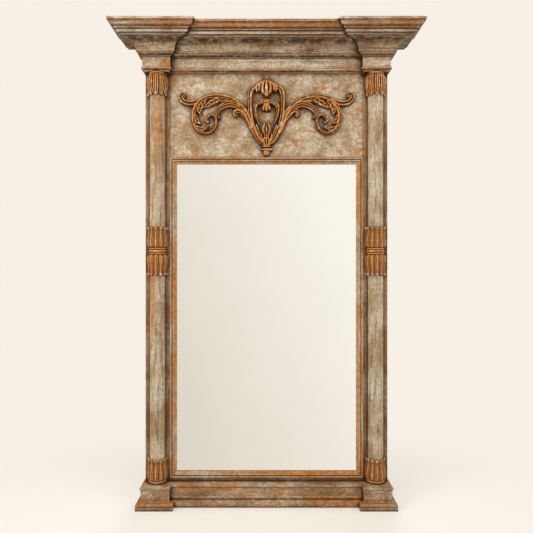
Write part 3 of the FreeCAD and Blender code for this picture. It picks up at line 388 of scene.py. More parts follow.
def make_old_paint(name, along, light=STONE_LIGHT, middle=STONE_MIDDLE, dark=STONE_DARK,
                   rub=1.0, ochre=0.5, ochre_size=16.0, ochre_cut=0.60, wash=0.5, glaze=1.0,
                   cloud_size=9.0, depth=0.5, reach=0.03, wash_size=60.0, ochre_band=None,
                   grain_along=None):
    """Grey-beige paint over ochre, with a brown wash, on pine that is bare at back and top. The
    glaze amount also sets the painted shade in hollows and undersides, and outer edges get dry
    brushing with a painted highlight.
    """
    material, tree, shader, place = new_finish(name)
    paint = use_effect(tree, mottled_paint, {"Place": place, "Light": light, "Middle": middle,
                                             "Dark": dark, "Size": cloud_size, "Depth": depth})
    hollows = use_effect(tree, glaze_and_painted_shade, {"Place": place, "Reach": reach, "Amount": glaze})
    edges = use_effect(tree, rubbed_and_highlit_arrises, {"Place": place, "Width": 0.0045,
                                              "Open": hollows["Open"], "Amount": rub})
    worn = streaks(tree, place, along, ochre_size, ochre_cut, 0.06)
    washed = streaks(tree, place, along, wash_size, 0.56, 0.08)
    ochre_tone = fade(tree, speckle(tree, place, 60.0, 5.0, 0.7), 0.36, 0.62)
    ochre_colour = lay_over(tree, ochre_tone, OCHRE_BRIGHT, OCHRE_DEEP)
    bare = both(tree, worn, ochre)
    if ochre_band is not None:
        bare = either(tree, bare, torn_ochre_band(tree, place, along, ochre_band))
    bare = either(tree, bare, edges["Rub"])
    colour = lay_over(tree, both(tree, washed, wash), paint["Colour"], dark)
    colour = lay_over(tree, bare, colour, ochre_colour)
    # Cream on outer edges: dry brushing and a painted highlight.
    colour = lay_over(tree, both(tree, edges["Dry brush and highlight"], 0.75), colour, DRY_BRUSH_AND_HIGHLIGHT_CREAM)
    # Glaze and painted shade in hollows, corners and undersides.
    colour = lay_over(tree, hollows["Glaze and shade"], colour, GLAZE_AND_SHADE_BROWN)
    colour = leave_pine_bare(tree, place, colour, grain_along or along)
    matt = fade(tree, bare, 0.0, 1.0, 0.66, 0.46)
    coat(tree, shader, colour, sum_up(tree, "MULTIPLY_ADD", paint["Cloud"], 0.10, matt))
    relief = use_effect(tree, brush_relief, {"Place": place, "Stretch": along})
    height = sum_up(tree, "MULTIPLY_ADD", bare, -0.25, relief["Height"])
    set_bump(tree, shader, height, 0.0012, 0.8)
    return material


def make_gilded_beads(name, along):
    """The orange-gold beads round the glass, rubbed through to stone paint and brown wash, with
    glaze and painted shade in their hollows.
    """
    material, tree, shader, place = new_finish(name)
    hollows = use_effect(tree, glaze_and_painted_shade, {"Place": place, "Reach": 0.007, "Amount": 0.85})
    paint = use_effect(tree, mottled_paint, {"Place": place, "Light": STONE_LIGHT,
                                             "Middle": STONE_MIDDLE, "Dark": UMBER_DARK,
                                             "Size": 14.0, "Depth": 0.6})
    gilt_tone = fade(tree, speckle(tree, place, 70.0, 6.0, 0.7), 0.38, 0.64)
    gilt = lay_over(tree, gilt_tone, GILT_LIGHT, GILT_DEEP)
    missing = streaks(tree, place, along, 19.0, 0.50, 0.08)
    colour = lay_over(tree, both(tree, missing, 0.85), gilt, paint["Colour"])
    # Glaze and painted shade in the hollows between the beads.
    colour = lay_over(tree, hollows["Glaze and shade"], colour, GLAZE_AND_SHADE_BROWN)
    coat(tree, shader, colour, fade(tree, missing, 0.0, 1.0, 0.40, 0.62))
    relief = use_effect(tree, brush_relief, {"Place": place, "Stretch": along})
    set_bump(tree, shader, relief["Height"], 0.001, 0.7)
    return material


def make_carved_gilding(name):
    """Gilding on carving: dark glaze and painted shade in the cuts, orange-gold on the leaves, pale
    rubbed tips that are partly painted highlights.
    """
    material, tree, shader, place = new_finish(name)
    cut = put(tree, "Attribute", attribute_name="hollow").outputs["Fac"]
    crest = put(tree, "Attribute", attribute_name="crest").outputs["Fac"]
    hollows = use_effect(tree, glaze_and_painted_shade, {"Place": place, "Reach": 0.009, "Amount": 0.9})
    tone = fade(tree, speckle(tree, place, 85.0, 6.0, 0.7), 0.40, 0.72)
    gilt = lay_over(tree, tone, GILT_LIGHT, GILT_DEEP)
    # The hollow mask and ambient occlusion darken the cuts: glaze and painted shade.
    uneven = sum_up(tree, "MULTIPLY_ADD", speckle(tree, place, 90.0, 4.0, 0.6), 0.4, cut)
    shade = fade(tree, uneven, 0.24, 0.62)
    colour = lay_over(tree, either(tree, shade, hollows["Glaze and shade"]), gilt, CUT_GLAZE_AND_SHADE_BROWN)
    # Pale crests: rubbed gilding and a painted highlight.
    rubbed = both(tree, fade(tree, crest, 0.45, 0.85),
                  fade(tree, speckle(tree, place, 46.0, 4.0, 0.6), 0.52, 0.62))
    colour = lay_over(tree, both(tree, rubbed, 0.7), colour, GILT_PALE_AND_HIGHLIGHT)
    coat(tree, shader, colour, fade(tree, shade, 0.0, 1.0, 0.36, 0.62))
    relief = use_effect(tree, brush_relief, {"Place": place, "Stretch": EVEN})
    set_bump(tree, shader, relief["Height"], 0.0011, 0.8)
    return material


def make_bare_pine(name, along):
    """Planed softwood with its grain and some dirt."""
    material, tree, shader, place = new_finish(name)
    grain = use_effect(tree, wood_grain, {"Place": place, "Stretch": along})
    dirt = fade(tree, speckle(tree, place, 7.0, 5.0, 0.6), 0.50, 0.75, 0.0, 0.5)
    colour = lay_over(tree, dirt, grain["Colour"], STONE_DARK)
    coat(tree, shader, colour, fade(tree, grain["Height"], 0.0, 1.0, 0.72, 0.60))
    set_bump(tree, shader, grain["Height"], 0.0008, 0.6)
    return material


def make_backing_board(name):
    """Brown hardboard with its pressed mesh and a few scuffs."""
    material, tree, shader, place = new_finish(name)
    fibres = speckle(tree, place, 340.0, 5.0, 0.75)
    cloud = fade(tree, speckle(tree, place, 4.0, 4.0, 0.6), 0.35, 0.7, 0.0, 0.6)
    colour = lay_over(tree, fibres, BOARD_BROWN, BOARD_DARK)
    colour = lay_over(tree, cloud, colour, BOARD_PALE)
    scuffs = streaks(tree, place, (0.3, 1.0, 1.0), 24.0, 0.68, 0.02)
    colour = lay_over(tree, both(tree, scuffs, 0.4), colour, PINE_LIGHT)
    coat(tree, shader, colour, fade(tree, fibres, 0.2, 0.8, 0.62, 0.80))
    ribs = [put(tree, "TexWave", {"Vector": place, "Scale": 120.0}, bands_direction=way)
            for way in ("X", "Z")]
    weave = both(tree, ribs[0].outputs["Fac"], ribs[1].outputs["Fac"])
    set_bump(tree, shader, sum_up(tree, "MULTIPLY_ADD", fibres, 0.4, weave), 0.0005, 0.5)
    return material


def make_silvered_glass(name):
    """Plain silvered glass: a mirror with the least waviness and a faint uneven haze."""
    material, tree, shader, place = new_finish(name)
    shader.inputs["Metallic"].default_value = 1.0
    haze = speckle(tree, place, 3.0, 3.0, 0.5)
    colour = lay_over(tree, haze, GLASS_WARM, GLASS_COOL)
    coat(tree, shader, colour, fade(tree, haze, 0.3, 0.7, 0.012, 0.03))
    set_bump(tree, shader, speckle(tree, place, 1.6, 1.0, 0.4), 0.0002, 0.15)
    return material


def make_zinc_plate(name):
    """Zinc plating: small spangles, dull spots and drawn scratches."""
    material, tree, shader, place = new_finish(name)
    shader.inputs["Metallic"].default_value = 1.0
    spangle = put(tree, "TexVoronoi", {"Vector": place, "Scale": 420.0}).outputs["Color"]
    tone = put(tree, "SeparateColor", {0: spangle}).outputs[0]
    colour = lay_over(tree, tone, ZINC_LIGHT, ZINC_GREY)
    dull = fade(tree, speckle(tree, place, 180.0, 4.0, 0.6), 0.52, 0.70, 0.0, 0.6)
    colour = lay_over(tree, dull, colour, ZINC_DULL)
    coat(tree, shader, colour, fade(tree, tone, 0.0, 1.0, 0.28, 0.44))
    scratches = speckle(tree, stretch(tree, place, (1.0, 1.0, 14.0)), 260.0, 4.0, 0.7)
    set_bump(tree, shader, scratches, 0.0002, 0.5)
    return material


def make_screw_brass(name):
    """Brass screw heads with patches of tarnish."""
    material, tree, shader, place = new_finish(name)
    shader.inputs["Metallic"].default_value = 1.0
    tarnish = fade(tree, speckle(tree, place, 330.0, 5.0, 0.7), 0.42, 0.62)
    colour = lay_over(tree, tarnish, BRASS_BRIGHT, BRASS_TARNISHED)
    coat(tree, shader, colour, fade(tree, tarnish, 0.0, 1.0, 0.30, 0.55))
    set_bump(tree, shader, tarnish, 0.0002, 0.5)
    return material


CYMA_BAND = (CORNICE_TOP - 0.031, CORNICE_TOP - 0.007, 0.85, 0.48)
UMBER = {"light": UMBER_LIGHT, "middle": UMBER_MIDDLE, "dark": UMBER_DARK}
STILE_BROWN = {"light": tint(192, 164, 126), "middle": tint(142, 106, 68), "dark": tint(86, 52, 26)}
CORONA = {"light": STONE_LIGHT, "middle": UMBER_MIDDLE, "dark": UMBER_DARK, "wash": 0.5,
          "reach": 0.014, "glaze": 0.8, "ochre_band": CYMA_BAND}
# The cove's darker umber palette and longer reach partly paint the shade that falls in the
# downward-facing cove, besides its glaze.
COVE = {"ochre": 0.6, "wash": 0.75, "reach": 0.035, "depth": 0.65, **UMBER}
level_corona = make_old_paint("corona paint along the front", ALONG_X, ochre=0.7, **CORONA)
return_corona = make_old_paint("corona paint along the returns", ALONG_Y, ochre=0.6, **CORONA)
level_cove = make_old_paint("cove paint along the front", ALONG_X, **COVE)
return_cove = make_old_paint("cove paint along the returns", ALONG_Y, **COVE)
# Inner corners: a long reach and strong glaze paint the shade that gathers in them, with glaze.
inner_cornice = make_old_paint("cornice paint in the inner corners", ALONG_Y, ochre=0.4, wash=0.9,
                               reach=0.11, glaze=1.5, ochre_band=CYMA_BAND, **UMBER)
level_paint = make_old_paint("moulding paint along the front", ALONG_X, ochre=0.8, ochre_cut=0.55,
                             wash=0.6, depth=0.6)
lip_paint = make_old_paint("lip paint", ALONG_X, ochre=0.9, ochre_size=22.0, ochre_cut=0.48,
                           wash=0.5)
block_paint = make_old_paint("end block paint", (0.45, 0.6, 1.0), ochre=0.85, ochre_size=17.0,
                             ochre_cut=0.52, wash=0.6, depth=0.6, grain_along=ALONG_X)
upright_paint = make_old_paint("stile paint", ALONG_Z, ochre=0.6, ochre_cut=0.57, wash=0.85,
                               reach=0.025, wash_size=95.0, **STILE_BROWN)
column_paint = make_old_paint("column paint", ALONG_Z, ochre=0.75, ochre_cut=0.60, wash=0.7,
                              reach=0.025, wash_size=85.0)
# The longer reach paints the shadow under the lip onto the top of the frieze field, with glaze.
panel_paint = make_old_paint("frieze field paint", (0.6, 1.0, 1.0), ochre=0.75, ochre_size=20.0,
                             ochre_cut=0.58, wash=0.5, cloud_size=13.0, depth=0.55, reach=0.032,
                             grain_along=ALONG_X)
plinth_paint = make_old_paint("plinth paint", (0.25, 0.3, 1.0), ochre=0.9, ochre_size=20.0,
                              ochre_cut=0.53, wash=0.6, depth=0.7, reach=0.017,
                              grain_along=ALONG_X, **UMBER)
level_beads = make_gilded_beads("gilded beads, level", ALONG_X)
upright_beads = make_gilded_beads("gilded beads, upright", ALONG_Z)
carved_gilding = make_carved_gilding("carved gilding")
bare_pine = make_bare_pine("bare pine", ALONG_X)
backing_board = make_backing_board("pressed backing board")
silvered_glass = make_silvered_glass("silvered glass")
zinc_plate = make_zinc_plate("zinc-plated steel")
screw_brass = make_screw_brass("tarnished brass")

# A piece takes the finish of the first words here that its name holds.
FINISHES = [
    ("header_rail", bare_pine), ("cross_rail", bare_pine), ("inner_return", inner_cornice),
    ("corona_outer", return_corona), ("corona", level_corona),
    ("cove_outer", return_cove), ("cove", level_cove), ("_lip", lip_paint),
    ("top_sight", level_beads), ("bottom_sight", level_beads), ("sight_moulding", upright_beads),
    ("_stile", upright_paint), ("_column_shaft", column_paint), ("frieze_panel", panel_paint),
    ("plinth", plinth_paint), ("base_rail", plinth_paint), ("base_ledge", plinth_paint),
    ("base_moulding", plinth_paint), ("_end_block", block_paint),
    ("backing_board", backing_board), ("mirror_glass", silvered_glass),
    ("hanger", zinc_plate), ("strap_screws", zinc_plate), ("backing_screws", screw_brass),
]
LEFT_SHARP = ("hanger", "screws", "glass", "board")
ARRIS_WIDTH = 0.0007


def ease_arrises(piece):
    """Takes the sharpness off a wooden piece's corners, as sanding and paint do."""
    weld = piece.modifiers.new("one skin", "WELD")
    weld.merge_threshold = 0.00001
    bevel = piece.modifiers.new("eased arrises", "BEVEL")
    bevel.width = ARRIS_WIDTH
    bevel.segments = 2
    bevel.limit_method = "ANGLE"
    bevel.angle_limit = math.radians(34)
    bevel.use_clamp_overlap = True
    bevel.harden_normals = False
    piece.modifiers.new("smooth faces", "WEIGHTED_NORMAL").keep_sharp = True


def finish_of(name):
    """The finish of a piece that keeps its construction shape."""
    for words, finish in FINISHES:
        if words in name:
            return finish
    return level_paint


for name, piece in nodes.items():
    piece.data.materials.clear()
    piece.data.materials.append(finish_of(name))
    if not any(word in name for word in LEFT_SHARP):
        ease_arrises(piece)


# ---------------------------------------------------------------------------- the carved frieze

# Each cut of the carving has a name, its relief, its kind of section and a run of stations (x,
# height above the carving's centre, half width), in millimetres. The right half mirrors the left
# one, except for the cuts on the middle line.
SCROLL_CUTS = [
    ("tail", 15.0, "channel", [
        (-261.1, 65.2, 5.1), (-277.7, 54.5, 9.7), (-293.1, 48.1, 11.3), (-311, 46.8, 11.3),
        (-327.6, 50.6, 10.7), (-339.7, 60.9, 10.2), (-344.3, 74.9, 9.7), (-337.9, 84.6, 8.7),
        (-328.4, 81.3, 6.7), (-328.9, 73.6, 3.6)]),
    ("tail knob", 9.0, "plain", [(-336, 74, 8), (-333.5, 76, 9), (-331.5, 74, 8)]),
    ("main stem", 15.5, "stem", [
        (-41, -82, 4.5), (-52, -66, 9.5), (-62.3, -40.2, 11.8),
        (-73.1, -9.5, 10.7), (-85.9, 16.1, 9.7), (-108.9, 41.7, 9.2), (-137.1, 61.6, 8.7),
        (-167.8, 72.9, 8.2), (-198.4, 76.2, 8.2), (-226.6, 72.9, 8.7), (-252.2, 64.2, 9.2),
        (-275.2, 45.5, 9.2), (-288, 21.2, 8.7), (-293.6, -4.4, 8.2), (-291.8, -24.8, 7.7),
        (-285.4, -45.3, 7.2), (-271.4, -62.7, 6.7), (-252.2, -71.4, 6.1), (-234.3, -72.2, 5.6),
        (-216.4, -61.9, 5.6), (-204.8, -45.3, 5.4), (-201.5, -24.8, 5.1), (-205.6, -9.5, 4.6),
        (-215.1, -1.3, 4.1), (-225.3, -1.3, 3.6), (-233.8, -8.2, 3.1)]),
    ("curled tip leaf", 14.0, "leaf", [
        (-210, -0.5, 3.6), (-226.6, 2, 6.7), (-239.4, -8.2, 7.7), (-244, -19.2, 6.7),
        (-238.1, -27.9, 4.6), (-227.1, -27.9, 1.5)]),
    ("second branch", 17.0, "reeds", [
        (-70.5, -4.4, 4.6), (-88.5, 16.1, 9.2), (-111.5, 31.4, 11.8), (-134.5, 41.7, 13.3),
        (-160.1, 40.9, 14.3), (-180.5, 30.2, 11.8), (-194.6, 16.1, 9.7), (-200.5, 3.3, 8.7),
        (-195.4, -6.9, 7.7), (-184.1, -12.1, 2.6)]),
    ("branch tip", 14.0, "plain", [
        (-139.6, 50.6, 3.1), (-162.6, 57.5, 4.6), (-178, 53.9, 3.6), (-186.9, 50.6, 1)]),
    ("small volute", 14.5, "stem", [
        (-68, -37.6, 3.6), (-80.8, -14.6, 6.7), (-93.6, 0.7, 7.7), (-106.4, 13.5, 8.7),
        (-119.2, 14.8, 9.7), (-128.1, 5.9, 8.2), (-123.8, -3.9, 6.1), (-114.5, -2.3, 3.1)]),
    ("leaf one", 13.5, "acanthus", [
        (-165.2, 71.1, 3.6), (-185.7, 64.2, 8.7), (-206.1, 57, 12.8), (-226.6, 45.5, 11.8),
        (-240.7, 35.3, 7.2), (-252.2, 28.4, 1.3)]),
    ("leaf two", 14.0, "acanthus", [
        (-239.4, 66, 3.6), (-253.4, 50.6, 9.2), (-265, 34, 12.3), (-270.1, 19.9, 9.7),
        (-268, 8.4, 5.1), (-263.7, -1.3, 1)]),
    ("leaf three", 13.5, "acanthus", [
        (-291.8, 12.3, 3.1), (-288, -6.9, 9.2), (-280.3, -22.3, 9.7), (-270.6, -32, 5.1),
        (-262.4, -36.6, 1)]),
    ("leaf four", 13.0, "acanthus", [
        (-290, -36.4, 3.1), (-277.7, -49.9, 7.7), (-262.4, -56, 9.7), (-247.1, -52.5, 8.7),
        (-234.8, -46.8, 3.6), (-230.2, -45.3, 1)]),
]

CARTOUCHE_SIDE_CUTS = [
    ("outer band", 18.0, "stem", [
        (-6.3, -121.2, 5.9), (-28.8, -101.6, 9), (-47.3, -66.7, 10.4), (-58.6, -30.6, 9.9),
        (-64.2, 7.6, 8.6), (-66.2, 41.4, 8.1), (-66.7, 70.7, 9.9), (-63.5, 91, 10.8),
        (-57, 104, 9.8), (-47, 109.6, 8.2), (-38, 104.0, 6.4), (-37.5, 94.5, 5.0)]),
    ("inner band", 17.0, "stem", [
        (-29.3, -39.7, 2.7), (-38.7, -16, 5), (-44.6, 7.6, 6.8), (-46.4, 25.7, 7.7),
        (-43.2, 38.7, 8.1), (-35.1, 45, 7.2), (-26.1, 44.6, 5)]),
    ("bud", 20.0, "leaf", [
        (-39.6, -38.5, 1.8), (-39.6, -49.8, 6.3), (-36, -64.4, 7.7), (-29.3, -81.3, 6.3),
        (-19.8, -99.3, 3.2)]),
    ("sliver", 17.0, "plain", [
        (-19.8, -71.2, 1.8), (-20.3, -86.9, 4.5), (-14.9, -105, 5.9), (-7.2, -119.6, 3.2)]),
    ("inner flute", 21.5, "plain", [
        (-6, 133, 4.1), (-14, 122, 6.4), (-16.5, 106, 6.8), (-14.5, 92, 5.9), (-11, 82.4, 2.4)]),
    ("middle flute", 19.5, "plain", [
        (-12, 133, 3.6), (-24, 124, 6.8), (-29.5, 110, 6.6), (-27.5, 96, 3.6)]),
    ("outer flute", 17.0, "plain", [
        (-22, 127, 4.2), (-36, 118, 6.6), (-41, 106, 5.2), (-37, 97, 2.7)]),
    ("swag", 18.0, "leaf", [
        (0, 54.9, 9), (-10.8, 53.6, 9), (-22.1, 50.9, 8.1), (-32.2, 46.4, 5.4)]),
    ("knob lobe", 20.5, "plain", [
        (-6.3, 39.2, 5.4), (-11.3, 26.8, 6.8), (-12.2, 18.4, 4.1)]),
    ("collar ring", 16.0, "plain", [(0, -127.5, 3.8), (-15.5, -127.5, 3.8)]),
    ("collar band", 18.5, "plain", [(0, -139.9, 5.2), (-17.2, -139.9, 5.2)]),
]

CARTOUCHE_MIDDLE_CUTS = [
    ("finial", 19.0, "leaf", [
        (0, 156.7, 1.4), (0, 149.5, 6), (0, 141.6, 9.8), (0, 131.5, 8), (0, 122.5, 4.5)]),
    ("crest tongue", 23.5, "plain", [
        (0, 134.9, 5.4), (0, 113.5, 7.6), (0, 93.2, 9.6), (0, 82, 10.2), (0, 74, 5.6)]),
    ("knob neck", 18.0, "reeds", [(0, 52.7, 11.3), (0, 39.2, 13.5), (0, 25.7, 11.3)]),
    ("knob middle", 22.0, "plain", [(0, 41.4, 6.8), (0, 26.8, 7.7), (0, 14.8, 3.6)]),
    ("palmette", 20.0, "palmette", [
        (0, -23.9, 1.8), (0, -34, 9.6), (0, -46.4, 16.9), (0, -62.2, 20.6), (0, -77.9, 15),
        (0, -93.7, 7.7)]),
    ("calyx", 18.5, "reeds", [
        (0, -88.1, 9), (0, -102.7, 14.9), (0, -115.1, 13.5), (0, -124.1, 7.7)]),
    ("drop", 15.5, "plain", [(0, -145.5, 13.5), (0, -152.3, 13.1), (0, -157.2, 4.5)]),
]

CARVING_CENTRE_Z = panel_low.z + 0.169
CARVING_SEAT = 0.0003
CARVING_GRID = 1.0
CARVING_SEED = 7
TOOL_MARKS = 0.025
RIM_SHARE = 0.28
VEIN_LENGTH = 14.0
LOBE_LENGTH = 19.0
PALMETTE_LOBE = 15.0
LOBE_SPREAD = 1.2
CUT_MARGIN = 3
FAR = 1e9


def draw_through(stations, step=1.5):
    """A smooth run through the stations, about one point each step millimetres."""
    points = np.array(stations, float)
    padded = np.vstack([2 * points[0] - points[1], points, 2 * points[-1] - points[-2]])
    run = []
    for index in range(len(points) - 1):
        a, b, c, d = padded[index:index + 4]
        count = max(2, int(np.hypot(*(c - b)[:2]) / step))
        for t in np.arange(count) / count:
            run.append(0.5 * (2 * b + (c - a) * t + (2 * a - 5 * b + 4 * c - d) * t * t
                              + (3 * b - a - 3 * c + d) * t ** 3))
    run.append(points[-1])
    return np.array(run)


def groove(across, centre, width):
    """How deep a rounded groove is at a place across."""
    return np.exp(-((across - centre) / width) ** 2)


def cut_section(kind, across, along, length):
    """The share of the relief that is left at a place across (-1 to 1) and along (0 to 1).

    A stem has one groove beside its middle, a channel one wide groove, and reeds have two. A leaf
    has a midrib and slanting veins, acanthus has broader ones, and a palmette fans out."""
    dome = np.sqrt(np.clip(1 - np.abs(across) ** 2.4, 0, 1))
    if kind == "stem":
        return (0.35 + 0.65 * dome) * (1 - 0.58 * groove(across, 0.26, 0.20))
    if kind == "channel":
        return (0.35 + 0.65 * dome) * (1 - 0.68 * groove(across, -0.05, 0.26))
    if kind == "reeds":
        cuts = groove(across, -0.36, 0.15) + groove(across, 0.30, 0.15)
        return (0.34 + 0.66 * dome) * (1 - 0.52 * np.clip(cuts, 0, 1))
    if kind == "leaf":
        veins = 0.5 + 0.5 * np.cos(2 * np.pi * (length / VEIN_LENGTH * along - 0.7 * np.abs(across)))
        return (0.32 + 0.68 * dome) * (1 - 0.40 * groove(across, 0, 0.20)) * (1 - 0.26 * veins)
    if kind == "acanthus":
        veins = 0.5 + 0.5 * np.cos(2 * np.pi * (length / LOBE_LENGTH * along - 0.9 * np.abs(across)))
        body = 0.42 + 0.58 * dome
        return body * (1 - 0.42 * groove(across, 0.05, 0.20)) * (1 - 0.42 * veins ** 1.6)
    if kind == "palmette":
        fan = 0.5 + 0.5 * np.cos(2 * np.pi * 1.7 * across)
        return (0.30 + 0.70 * dome) * (0.55 + 0.45 * fan)
    return 0.28 + 0.72 * dome


def lobed(kind, half_width, along, length):
    """A leaf's edge goes in and out with its lobes; other cuts keep their width."""
    if kind == "acanthus":
        beat = np.abs(np.cos(np.pi * length / LOBE_LENGTH * along))
        return half_width * (0.80 + 0.30 * beat ** 0.7)
    if kind == "palmette":
        beat = np.abs(np.cos(np.pi * length / PALMETTE_LOBE * along))
        return half_width * (0.86 + 0.18 * beat)
    return half_width


def soften(field, radius):
    """A Gaussian blur of a height field, in grid steps."""
    rows, columns = field.shape
    down = np.fft.fftfreq(rows)[:, None]
    over = np.fft.rfftfreq(columns)[None, :]
    gain = np.exp(-2 * (np.pi * radius) ** 2 * (down ** 2 + over ** 2))
    return np.fft.irfft2(np.fft.rfft2(field) * gain, s=field.shape)


def measure_cut(run, kind, px, pz):
    """For each place: how far it lies past the cut's edge, how far across from its middle (-1 to
    1) and how far along (0 to 1). Gives the cut's length too."""
    steps = np.hypot(*np.diff(run[:, :2], axis=0).T)
    reach = np.concatenate([[0], np.cumsum(steps)])
    length = reach[-1]
    past_edge = np.full(px.shape, FAR)
    side = np.zeros(px.shape)
    along = np.zeros(px.shape)
    width = np.ones(px.shape)
    for index in range(len(steps)):
        ax, az, aw = run[index]
        bx, bz, bw = run[index + 1]
        dx, dz = bx - ax, bz - az
        share = np.clip(((px - ax) * dx + (pz - az) * dz) / max(dx * dx + dz * dz, 1e-9), 0, 1)
        ox, oz = px - (ax + share * dx), pz - (az + share * dz)
        gap = np.hypot(ox, oz)
        here = (reach[index] + share * steps[index]) / length
        wide = lobed(kind, aw + share * (bw - aw), here, length)
        better = gap - wide < past_edge
        past_edge = np.where(better, gap - wide, past_edge)
        side = np.where(better, gap * np.sign(dx * oz - dz * ox), side)
        along = np.where(better, here, along)
        width = np.where(better, wide, width)
    return past_edge, np.clip(side / width, -1, 1), along, length


def carve(cuts, x_range, z_range):
    """Carves all cuts into one height field. Gives x, z, height and the distance past the edge."""
    xs = np.arange(x_range[0], x_range[1] + CARVING_GRID, CARVING_GRID)
    zs = np.arange(z_range[0], z_range[1] + CARVING_GRID, CARVING_GRID)
    grid_x, grid_z = np.meshgrid(xs, zs)
    height = np.zeros_like(grid_x)
    edge = np.full_like(grid_x, FAR)
    for _, relief, kind, stations in cuts:
        run = draw_through(stations)
        margin = run[:, 2].max() * LOBE_SPREAD + CUT_MARGIN
        low_x, low_z = run[:, :2].min(axis=0) - margin
        high_x, high_z = run[:, :2].max(axis=0) + margin
        near = (grid_x > low_x) & (grid_x < high_x) & (grid_z > low_z) & (grid_z < high_z)
        past_edge, across, along, length = measure_cut(run, kind, grid_x[near], grid_z[near])
        rise = np.where(past_edge < 0, relief * cut_section(kind, across, along, length), 0)
        height[near] = np.maximum(height[near], rise)
        edge[near] = np.minimum(edge[near], past_edge)
    return grid_x, grid_z, height, edge


def faces_between(kept):
    """Quads between the kept points of a grid, and a triangle where one corner is missing."""
    index = np.full(kept.shape, -1)
    index[kept] = np.arange(kept.sum())
    a, b = index[:-1, :-1], index[:-1, 1:]
    c, d = index[1:, 1:], index[1:, :-1]
    whole = (a >= 0) & (b >= 0) & (c >= 0) & (d >= 0)
    faces = np.stack([a, b, c, d], -1)[whole].tolist()
    for one, two, three, missing in ((a, b, c, d), (b, c, d, a), (c, d, a, b), (d, a, b, c)):
        part = (one >= 0) & (two >= 0) & (three >= 0) & (missing < 0)
        faces += np.stack([one, two, three], -1)[part].tolist()
    return faces


def open_edges(faces):
    """The edges that only one face has."""
    border = {}
    for face in faces:
        for first, second in zip(face, face[1:] + face[:1]):
            if (second, first) in border:
                del border[(second, first)]
            else:
                border[(first, second)] = True
    return border


def hang_carving(name, node, points, faces, hollow, crest):
    """Puts a carved mesh in its construction piece's place, with its masks for the gilding."""
    mesh = bpy.data.meshes.new(name)
    mesh.from_pydata(points.tolist(), [], faces)
    mesh.polygons.foreach_set("use_smooth", [True] * len(mesh.polygons))
    for label, values in (("hollow", hollow), ("crest", crest)):
        attribute = mesh.attributes.new(label, "FLOAT", "POINT")
        attribute.data.foreach_set("value", values.astype(np.float32).ravel())
    piece = bpy.data.objects.new(name, mesh)
    bpy.context.scene.collection.objects.link(piece)
    mesh.materials.append(carved_gilding)
    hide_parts(node)
    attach(piece, "frame")


def build_relief(name, cuts, x_range, z_range, node):
    """A carved piece that lies on the frieze panel, built from its height field."""
    grid_x, grid_z, height, edge = carve(cuts, x_range, z_range)
    rng = np.random.default_rng(CARVING_SEED)
    tool = soften(rng.standard_normal(height.shape), 2.2)
    height = height * (1 + TOOL_MARKS * tool / tool.std())
    height = np.where(edge < 0, soften(height, 0.8), 0)
    wide = soften(height, 3.4)
    fine = soften(height, 1.5)
    # Hollow darkens the cuts and the rim around the carving in the gilding: glaze and painted shade.
    # Crest marks ridges for rubbed gilding and a painted highlight.
    hollow = np.clip((wide - height) / 3.1, 0, 1) * (edge < 0) + np.clip(1.8 + edge, 0, 1) * 0.8
    crest = np.clip((fine - wide) / 2.4 + 0.2, 0, 1)
    kept = edge < 0.5 * CARVING_GRID
    rim = kept & (edge > -0.5 * CARVING_GRID)
    slope_z, slope_x = np.gradient(np.clip(edge, -30, 30), CARVING_GRID)
    steep = np.maximum(slope_x ** 2 + slope_z ** 2, 0.2)
    shift = np.where(rim, np.clip(-edge, -0.6, 0.6), 0) / steep
    height = np.where(rim, RIM_SHARE * height, height)
    x = (grid_x + shift * slope_x)[kept] / MM_PER_METRE
    y = PANEL_FACE_Y - height[kept] / MM_PER_METRE
    z = CARVING_CENTRE_Z + (grid_z + shift * slope_z)[kept] / MM_PER_METRE
    front = np.stack([x, y, z], -1)
    faces = faces_between(kept)
    foot = {}
    seat = []
    walls = []
    for first, second in open_edges(faces):
        for corner in (first, second):
            if corner not in foot:
                foot[corner] = len(front) + len(seat)
                seat.append((front[corner][0], PANEL_FACE_Y + CARVING_SEAT, front[corner][2]))
        walls.append([second, first, foot[first], foot[second]])
    hang_carving(name, node, np.vstack([front, seat]), faces + walls,
                 np.concatenate([hollow[kept], np.ones(len(seat))]),
                 np.concatenate([crest[kept], np.zeros(len(seat))]))


def mirror(cuts):
    """The same cuts on the other side of the middle line."""
    return [(label, relief, kind, [(-x, z, width) for x, z, width in stations])
            for label, relief, kind, stations in cuts]


build_relief("left_scroll_carving", SCROLL_CUTS, (-360, 0), (-135, 110), "left_scroll")
build_relief("right_scroll_carving", mirror(SCROLL_CUTS), (0, 360), (-135, 110), "right_scroll")
build_relief("cartouche_carving",
             CARTOUCHE_SIDE_CUTS + mirror(CARTOUCHE_SIDE_CUTS) + CARTOUCHE_MIDDLE_CUTS,
             (-85, 85), (-165, 165), "cartouche")


# -------------------------------------------------------------------- leaf sleeves of the columns

# Heights and radii are in millimetres here, from each sleeve's own foot and the column's axis.
SLEEVE_ANGLES = 141
SLEEVE_STEP = 0.95
SLEEVE_BITE = 0.3
SLEEVE_PAD = 12
CAPITAL_LEAF_LENGTH = 85.5
TULIP_LENGTH = 84.0
RING_PITCH = 9.6
RING_RADII = (34.6, 36.0, 34.6)
BASE_LEAF_FOOT = 13.5
BASE_LEAF_LENGTH = 84.5


